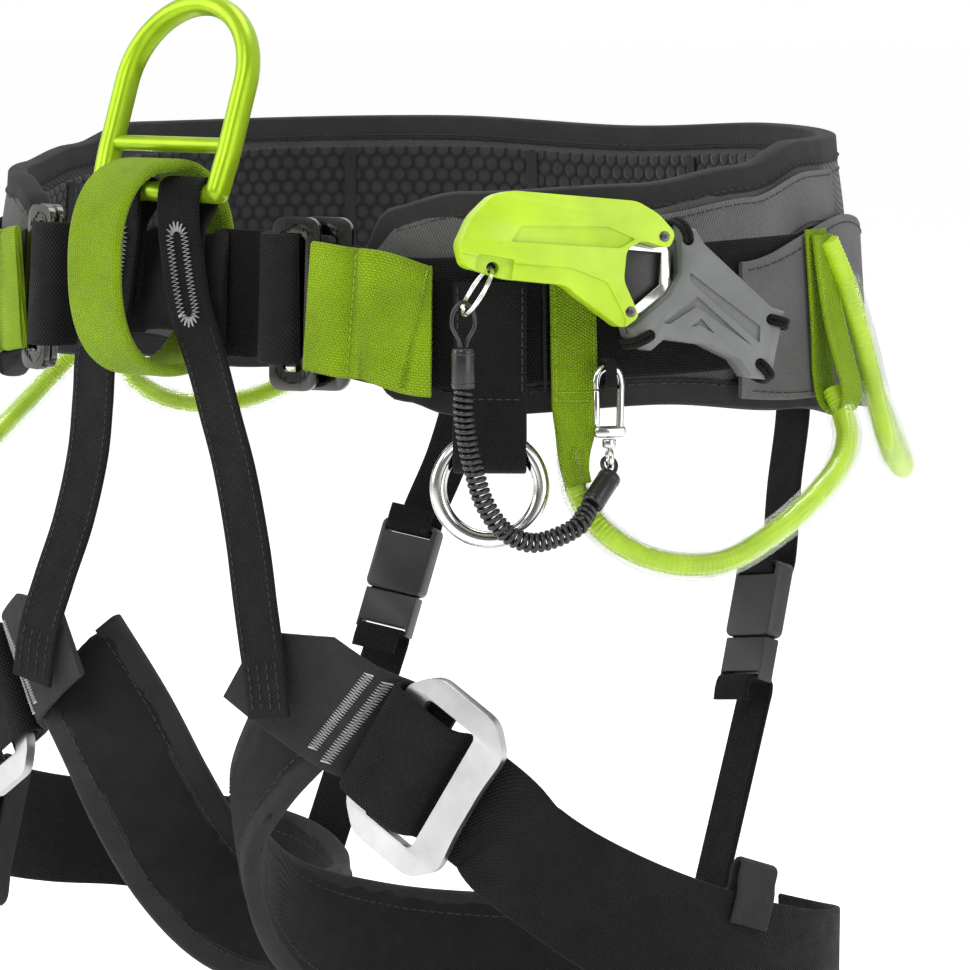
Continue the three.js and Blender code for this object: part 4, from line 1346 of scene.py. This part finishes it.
def ribbed_core(name, route, side, *stands_for):
    """The round core of a gear loop, with fine ribs across it."""
    run = Run(gear_path(route, side, 0.45))

    def ribs(share):
        return (1 + 0.05 * math.sin(2 * math.pi * share * run.length / RIB_PITCH),) * 2

    core = run.piece(name, round_section(3.7, 20), scale=ribs)
    dress(core, "saddle", "lime_plastic", *stands_for)


def clear_sleeve(name, path, *stands_for):
    """A clear hose with a bore and cut ends."""
    run = Run(path)
    outer = run.piece(name, round_section(5.5, 28))
    inner = Run([path[0] + run.tangents[0] * -3, *path, path[-1] + run.tangents[-1] * 3])
    carve(outer, inner.piece(f"{name}_bore", round_section(4.3, 24)))
    smooth(outer, 50)
    dress(outer, "saddle", "clear_tube", *stands_for)


def gathered(share):
    """The width and thickness of a tape that is gathered into a cord at its end."""
    late = max(0.0, (share - 0.62) / 0.38)
    late = late * late * (3 - 2 * late)
    return (1 - 0.5 * late, 1 + 2.4 * late)


def gear_tapes(label, side):
    """The tapes that hold the gear loops on the belt. Gives back their stitches."""
    tape, holder, tail = (
        Run(gear_path(route, side, 1.2), round_belt) for route in (GEAR_TAPE, GEAR_HOLDER, GEAR_TAIL)
    )
    strap(
        f"gear_tape_{label}", tape, 17, 2.0, "saddle", "lime_webbing",
        f"gear_loop_tape_{label}", scale=gathered,
    )
    out = outwards_sign(tape, 5, tape.path[5])
    lines = seams(tape, 1, 52, (-7, 7), out * 1.05, 2.4, 1.0)
    for distance in (47, 50):
        lines.append([
            tape.at(distance + 0.25 * (k % 2), -7 + k * 0.7, out * 1.15) for k in range(21)
        ])
    strap(f"gear_holder_{label}", holder, 13, 1.5, "saddle", "lime_webbing")
    start, end = holder.length * 0.8 - 18, holder.length - 2
    out = outwards_sign(holder, len(holder.path) - 8, holder.path[-8])
    lines += seams(holder, start, end, (-5.2, 5.2), out * 0.8, 2.0, 0.9)
    strap(f"gear_tail_{label}", tail, 15, 2.0, "saddle", "lime_webbing", scale=gathered)
    return lines


def make_gear_loops():
    lines, edges = [], []
    for label, side in SIDES:
        ribbed_core(f"gear_core_front_{label}", FRONT_GEAR, side, f"front_gear_core_{label}")
        clear_sleeve(
            f"gear_hose_front_{label}", gear_path(FRONT_GEAR[:-1], side, 1.6),
            f"front_gear_tube_{label}",
        )
        ribbed_core(f"gear_core_rear_{label}", REAR_GEAR, side, f"rear_gear_loop_{label}")
        clear_sleeve(f"gear_hose_rear_{label}", gear_path(REAR_GEAR[1:-1], side, 1.6))
        lines += gear_tapes(label, side)
        edges.append([on_belt(50.7 * side, 13.2 + 0.5 * (k % 2), 2 - k * 0.6) for k in range(60)])
    thread("gear_tape_stitching", lines, THREAD, "saddle", "lime_thread")
    thread("gear_tape_edge", edges, 0.7, "saddle", "edge_tape")


make_side_rings()
make_gear_loops()


# ---------------------------------------------------------------- rescue tool and its sheath
TOOL_PLACE = belt_place(58, 34, 8, math.radians(10))
KEY_HOLE = (-46, -4, -7)
EYELETS = ((20.6, 13.5), (54, -8.5), (52.5, -24), (12.4, -20.5))


def make_handle():
    outline = rounded([
        (-59, -1), (-56, 9), (-50, 17), (-44, 19.5), (-1, 23), (7, 20), (14, 14.5), (12.6, 9),
        (3, 10.4), (-2, 6.4), (-1.4, -4), (6, -15), (1, -20), (-15, -12), (-21, -8.6),
        (-42, -10), (-56, -8),
    ], 2.2)
    handle = plate("tool_grip", outline, -4, 11, 3.2, 2)
    x, y, z = KEY_HOLE
    wedge = plate("wedge", rounded([
        (-42, 2.6), (-39.3, 8.4), (-10, 13), (0.5, 10.4), (-4.5, 6.4), (-22, 4.6),
    ], 1.2), -9.7, 2.8)
    ledge = plate("ledge", rounded([
        (-64, -3), (-44, -4.6), (-20, -2.6), (-6.8, -5.5), (1.8, -17), (0, -26), (-64, -26),
    ], 1.5), -10.4, 3.4)
    carve(
        handle, wedge, ledge,
        rod("hole", (x, y - 20, z), (x, y + 20, z), 2.2),
        block("outer_pocket", (13, 8, 12), (x, y - 6.4, z - 2), 1.2),
        block("inner_pocket", (13, 8, 12), (x, y + 6.4, z - 2), 1.2),
    )
    soften(handle, 0.45, 2, 25)
    dress(placed(handle, TOOL_PLACE), "rescue_tool", "lime_plastic", "tool_handle")
    rivets, sockets = [], []
    for i, (rx, rz) in enumerate(((10.2, 12.8), (2.6, -14.0))):
        rivets.append(rod(f"rivet_{i}", (rx, -9.9, rz), (rx, -8.6, rz), 1.8, sides=32, bevel=0.3))
        # Each socket is a dark plastic hexagon laid on the rivet head: painted shade for the hollow
        # of its drive socket.
        sockets.append(rod(f"socket_{i}", (rx, -9.96, rz), (rx, -9.2, rz), 1.0, sides=6))
    dress(placed(join("tool_rivets", *rivets), TOOL_PLACE), "rescue_tool", "dark_steel")
    dress(placed(join("tool_rivet_socket_shade", *sockets), TOOL_PLACE), "rescue_tool", "dark_plastic")


def eyelet_turn(x, z, offset):
    """One strand of lashing from an eyelet round the edge of the sheath to its back."""
    away = (Vector((x, z)) - Vector((33, -6))).normalized()
    shift = Vector((-away.y, away.x)) * offset
    spots = []
    for reach, y in ((0, 6), (0, -2), (1.6, -4.4), (4.6, -4.0), (6.6, 0), (6.8, 9), (4.6, 15.5),
                     (1.5, 17.4)):
        spots.append((x + away.x * reach + shift.x, y, z + away.y * reach + shift.y))
    path = smooth_path([TOOL_PLACE @ Vector(spot) for spot in spots], 0.7)
    return Run(path).piece(f"strand_{x}_{offset}", round_section(0.95, 10))


def make_sheath():
    marks = [
        rounded([(22.7, 2.8), (50.5, -11.5), (51.1, -17.1), (23.3, -0.2)], 0.8),
        rounded([(16.2, -15.6), (26.8, -5.0), (48.6, -18.4), (27, -8.4), (18.4, -15.8)], 0.6),
        rounded([(26.2, -15.4), (29.3, -12), (34.8, -16.4), (29.3, -14.4)], 0.4),
    ]
    tools = [placed(plate(f"mark_{i}", mark, -3, 2.6), TOOL_PLACE) for i, mark in enumerate(marks)]
    sheath = refined("tool_sheath", "sheath_shell", 0.5, tools)
    dress(sheath, "saddle", "grey_plastic", "tool_sheath")
    cover = refined("sheath_latch", "sheath_tongue", 0.5)
    dress(cover, "latch", "dark_plastic", "sheath_latch")
    blade = refined("tool_blade", "tool_steel", 0.35)
    dress(blade, "rescue_tool", "steel", "tool_blade")
    for name, (first, last) in (
        ("front", (EYELETS[0], EYELETS[3])), ("rear", (EYELETS[1], EYELETS[2])),
    ):
        (x0, z0), (x1, z1) = first, last
        dx, dz = (x1 - x0) * 0.12, (z1 - z0) * 0.12
        points = [
            (x0, -2.6, z0), (x0, 4, z0), (x0, 16, z0), (x0 + dx, 18, z0 + dz),
            (x1 - dx, 18, z1 - dz), (x1, 16, z1), (x1, 4, z1), (x1, -2.6, z1),
        ]
        run = Run(smooth_path([TOOL_PLACE @ Vector(p) for p in points], 0.7))

        def strands(share):
            return (1 + 0.12 * math.sin(share * run.length * 3.0),) * 2

        cord = run.piece(f"lashing_{name}", round_section(1.35, 14), scale=strands)
        turns = [eyelet_turn(x, z, offset) for x, z in (first, last) for offset in (-1.0, 1.0)]
        dress(join(f"lashing_{name}", cord, *turns), "saddle", "black_webbing", f"sheath_cord_{name}")


def make_key_ring():
    x, y, z = KEY_HOLE
    lean = Matrix.Translation((x, y, z)) @ Matrix.Rotation(math.radians(22), 4, "Y")
    spots = []
    for i in range(161):
        turn = 2 * math.pi * 2 * i / 160 + math.pi * 0.25
        spot = Vector((1.1 * (i / 160 - 0.5), 9.1 * math.sin(turn), -9.1 - 9.1 * math.cos(turn)))
        spots.append(TOOL_PLACE @ (lean @ spot))
    ring = Run(spots).piece("key_ring_wire", round_section(0.52, 12))
    dress(ring, "key_ring", "steel", "split_ring")


make_handle()
make_sheath()
make_key_ring()


# ---------------------------------------------------------------- snap hook
HOOK_PLACE = belt_place(57.6, 22, 0)


def make_hook():
    bend, top, base = 4.2, -26.0, -47.0
    turns = [math.radians(a) for a in (0, 45, 90, 135, 180)]
    arc = [(bend * math.cos(a), 0, top - bend + bend * math.sin(a)) for a in turns]
    points = [(bend * 0.9, 0, base), (bend, 0, top - bend - 6), *arc, (-bend, 0, top - bend - 3)]
    body = Run(smooth_path([HOOK_PLACE @ Vector(p) for p in points], 0.6))
    wire = body.piece("hook_wire", round_section(1.3, 18))
    foot = placed(block("hook_foot", (11, 3.6, 4), (0.3, 0, base - 1), 1.3), HOOK_PLACE)
    dress(join("snap_hook", wire, foot), "saddle", "steel", "hook_body")
    gate = rod("gate_bar", (-bend, 0, base + 1.5), (-bend, 0, top - bend - 3.6), 1.1, 24, 0.3)
    dress(placed(gate, HOOK_PLACE), "gate", "steel", "hook_gate")
    barrel = rod("swivel", (0, 0, base - 3.4), (0, 0, base - 6.5), 2.4, 32, 0.6)
    eye = hoop(
        "swivel_eye", 3.0, 0.9,
        Matrix.Translation((0, 0, -56.8)) @ Matrix.Rotation(math.pi / 2, 4, "Z"), 48, 14,
    )
    dress(placed(join("hook_swivel_eye", barrel, eye), HOOK_PLACE), "saddle", "steel", "hook_swivel")
    y0, y1, z0, z1 = -4.35, 5.65, top - 6.75, top + 2.55
    corners = rounded([(y0, z0), (y0, z1), (y1, z1), (y1, z0)], 2.4, 6)
    loop = [HOOK_PLACE @ Vector((0, y, z)) for y, z in corners]
    across = HOOK_PLACE.to_3x3() @ Vector((1, 0, 0))
    strap(
        "hook_webbing", Run(loop, lambda point, tangent, share: across, closed=True), 4, 1.3,
        "saddle", "black_webbing", "hook_loop",
    )


make_hook()


# ---------------------------------------------------------------- leg loops
LEG_PAD = (
    (62.5, -122, -143), (40, -123.2, -168), (23.5, -121, -194), (17.5, -107.5, -219),
    (16, -84, -241), (20, -46, -256), (37, -6, -264), (66, 28, -266), (102, 45, -262),
    (138, 40, -256),
)
LEG_STRAP = (
    (141, -109, -192), (167, -84, -216), (185, -47, -234), (191, -8, -246), (182, 24, -252),
    (160, 44, -257), (136, 54, -259),
)
UNDER_BUCKLE = (
    (-4, 7.4), (-14, 7.6), (-23, 6.8), (-28.5, 2.2), (-34, -2.2), (-42, -4.6), (-52, -6.2),
    (-64, -7.6), (-78, -8.0),
)
STRAP_WRAP = (
    (-3, 4.8), (-12, 4.9), (-19, 4.8), (-24.4, 3.4), (-25.6, 0), (-24.4, -3.4), (-19, -5),
    (-9, -5.2), (0, -4.6), (3.4, -1.6), (5.4, 2.6), (9, 5), (18, 5.8), (30, 5.8),
)


KEEPER = (
    (-12, -2.6), (-20, -2.6), (-24.2, -2.2), (-25.4, 0), (-24.2, 2.2), (-20, 2.6), (0, 2.6),
    (20, 2.6), (24.5, 3.2), (32, 3.6), (34.5, 1.8), (33.5, -0.6), (28, -1.2), (24, -2.4),
    (12, -2.6),
)
BUCKLE_OUTLINE = (
    (-13, -34), (13, -34), (22, -25), (20.6, -10), (20.6, 10), (22, 25), (13, 34), (-13, 34),
    (-22, 25), (-22, -25),
)
BUCKLE_WINDOW = ((-13, -25), (-13, 25), (9, 25), (9, -25))


def round_thigh(side):
    """The direction across a band round the thigh, at each of its points."""
    def across(point, tangent, share):
        return Vector((point.x - 95 * side, point.y + 32, 0)).cross(tangent)
    return across


def leg_place(side):
    return (
        Matrix.Translation((111 * side, -122.5, -168))
        @ Matrix.Rotation(math.radians(10) * side, 4, "Z")
        @ Matrix.Rotation(math.radians(32) * side, 4, "Y")
    )


def leg_pad_sewn(run):
    def sewn(point):
        near = min(range(0, len(run.path), 2), key=lambda i: (run.path[i] - point).length)
        sideways = (point - run.path[near]).dot(run.sides[near])
        return abs(sideways) > 19.5
    return sewn


def leg_binding(name, run, edge):
    """Tape folded over one long edge of the leg pad."""
    sign = 1 if edge > 0 else -1
    points = [run.at(run.length * i / 150, edge - sign * 1.5, 0) for i in range(151)]
    last = len(run.sides) - 1
    line = Run(points, lambda point, tangent, share: run.sides[round(share * last)])
    dress(line.piece(name, tape_fold(sign, 8.0, 3.7, 3.1, 2.0, 0.0, 0.75)), "saddle", "edge_tape")
    return line, sign


def make_leg_pad(label, side):
    """The pad of a leg loop and its edge tapes. Gives back their stitches."""
    run = Run(smooth_path(mirrored(LEG_PAD, side), 2.0), round_thigh(side))
    inflate(
        f"leg_pad_{label}", f"leg_cushion_{label}", 1.6, leg_pad_sewn(run), "black_fabric",
        voxel=3.6, steps=12,
    )
    lines = []
    for where, edge in (("upper", 23.5), ("lower", -23.5)):
        line, sign = leg_binding(f"leg_binding_{where}_{label}", run, edge)
        for lift in (-3.8, 3.8):
            lines += seam(line, 3, line.length - 3, sign * -6.4, lift)
    return lines


def make_junction(label, side, place):
    """The stiff webbing in front of the thigh. Gives back its two rows of tacks."""
    under = [place @ Vector((x * side, y, 0)) for x, y in UNDER_BUCKLE]
    run = flat_run(under, 1.5, place.to_3x3() @ Vector((0, 0, side)))
    junction = run.piece(f"leg_junction_{label}", strip_section(WEBBING_WIDTH, 2.2))
    carve(junction, block("trim", (300, 200, 60), (60 * side, -130, -91)))
    smooth(junction, 50)
    dress(junction, "saddle", "edge_tape", f"leg_junction_{label}")
    outward = (place.to_3x3() @ Vector((0, -1, 0))).normalized()
    tacks = []
    for (x0, z0), (x1, z1) in (((-40, -17), (-35.5, 19)), ((-34, -19), (-29.5, 19))):
        line = []
        for k in range(66):
            share = k / 65
            x = x0 + (x1 - x0) * share + (1.5 if k % 2 else -1.5)
            start = place @ Vector((x * side, -30, z0 + (z1 - z0) * share))
            spot = struck([junction], start, -outward)
            if spot is not None:
                line.append(spot + outward * 0.3)
        tacks.append(line)
    return tacks


def make_leg_strap(label, side, place):
    """The strap from the buckle round the thigh, and the keeper on it."""
    upright, radial = place.to_3x3() @ Vector((0, 0, side)), round_thigh(side)

    def turning(point, tangent, share):
        blend = min(1.0, max(0.0, (share - 0.32) / 0.2))
        blend = blend * blend * (3 - 2 * blend)
        return upright.lerp(radial(point, tangent, share).normalized(), blend)

    wrap = [place @ Vector((x * side, y, 0)) for x, y in STRAP_WRAP]
    run = Run(smooth_path(wrap + mirrored(LEG_STRAP, side), 1.4), turning)
    strap(
        f"leg_webbing_{label}", run, WEBBING_WIDTH, 2.0, "saddle", "black_webbing",
        f"leg_strap_{label}",
    )
    at = nearest(run.path, (186 * side, -44, -235))
    keeper = [run.at(run.along[at], sideways, lift) for sideways, lift in KEEPER]
    strap(
        f"strap_keeper_{label}", flat_run(keeper, 1.2, run.tangents[at]), 17, 1.4, "saddle",
        "edge_tape",
    )


def make_leg_buckle(label, side, place):
    outline, window = (
        [(x * side, z) for x, z in rounded(corners, radius)]
        for corners, radius in ((BUCKLE_OUTLINE, 4.0), (BUCKLE_WINDOW, 2.5))
    )
    buckle = plate(f"leg_frame_{label}", outline, 0, 4.0, 1.3, 4, holes=(window,))
    dress(
        placed(buckle, place), f"leg_buckle_{label}_body", "brushed_aluminium",
        f"leg_buckle_{label}",
    )


def make_leg_loops():
    lines, tacks = [], []
    for label, side in SIDES:
        place = leg_place(side)
        lines += make_leg_pad(label, side)
        tacks += make_junction(label, side, place)
        make_leg_strap(label, side, place)
        make_leg_buckle(label, side, place)
    thread("leg_binding_stitching", lines, THREAD, "saddle", "black_thread")
    thread("leg_bartacks", [t for t in tacks if len(t) > 1], 0.42, "saddle", "grey_thread")


# ---------------------------------------------------------------- rear straps
def rear_place(side):
    top, end = Vector((91 * side, 104, -120)), Vector((99 * side, 53.6, -252))
    up = (top - end).normalized()
    across = Vector((1, -0.3 * side, 0))
    across = (across - up * across.dot(up)).normalized()
    turned = Matrix((across, up.cross(across), up)).transposed().to_4x4()
    return Matrix.Translation(top) @ turned


def slot_fold(place, slot, direction):
    spots = ((-5.6, 10), (-5.9, 4.5), (-5, 0.8), (0, 0), (5, 0.8), (5.9, 4.5), (5.6, 10))
    return [place @ Vector((0, y, slot + rise * direction)) for y, rise in spots]


def make_rear_straps():
    for label, side in SIDES:
        place = rear_place(side)
        across = place.to_3x3() @ Vector((1, 0, 0))
        upper = mirrored(((82, 131.5, -34), (84, 131, -60), (87, 121, -92)), side)
        upper += list(reversed(slot_fold(place, -4, 1)))
        strap(
            f"rear_webbing_{label}", flat_run(upper, 1.5, across), 20, 1.8, "saddle",
            "black_webbing", f"rear_strap_{label}",
        )
        lower = slot_fold(place, -46, -1) + mirrored(((99, 53.6, -252),), side)
        strap(
            f"rear_webbing_lower_{label}", flat_run(lower, 1.5, across), 20, 1.8, "saddle",
            "black_webbing", f"rear_lower_strap_{label}",
        )
        for part in ("socket", "plug"):
            piece = refined(f"rear_clip_{part}_{label}", f"clip_{part}_{label}", 0.6)
            dress(piece, "saddle", "dark_plastic", f"rear_clip_{part}_{label}")


make_leg_loops()
make_rear_straps()


# ---------------------------------------------------------------- floor and surroundings
def make_floor():
    deselect()
    bpy.ops.mesh.primitive_plane_add(size=60, location=(0, 0, -0.32))
    floor = bpy.context.object
    floor.name = "floor"
    pale = bpy.data.materials.new("pale_floor")
    pale.use_nodes = True
    shader = pale.node_tree.nodes["Principled BSDF"]
    shader.inputs["Base Color"].default_value = (0.93, 0.93, 0.93, 1)
    shader.inputs["Roughness"].default_value = 0.9
    shader.inputs["Emission Color"].default_value = (1, 1, 1, 1)
    shader.inputs["Emission Strength"].default_value = 0.3
    floor.data.materials.append(pale)


def make_world():
    """White surroundings that are dimmer towards the front left."""
    world = bpy.data.worlds.new("studio")
    bpy.context.scene.world = world
    world.use_nodes = True
    sky = world.node_tree.nodes["Background"]
    sky.inputs["Color"].default_value = (1, 1, 1, 1)
    tree = world.node_tree
    heading = tree.nodes.new("ShaderNodeTexCoord").outputs["Generated"]
    towards = vector_maths(tree, "DOT_PRODUCT", heading, (0.655, -0.755, 0.05))
    level = add_node(
        tree, "ShaderNodeMapRange",
        (("Value", towards), ("From Min", -0.1), ("From Max", 0.65),
         ("To Min", 1.0), ("To Max", 0.22)),
    )
    tree.links.new(level.outputs[0], sky.inputs["Strength"])
    bpy.context.scene.view_settings.view_transform = "Standard"


make_floor()
make_world()
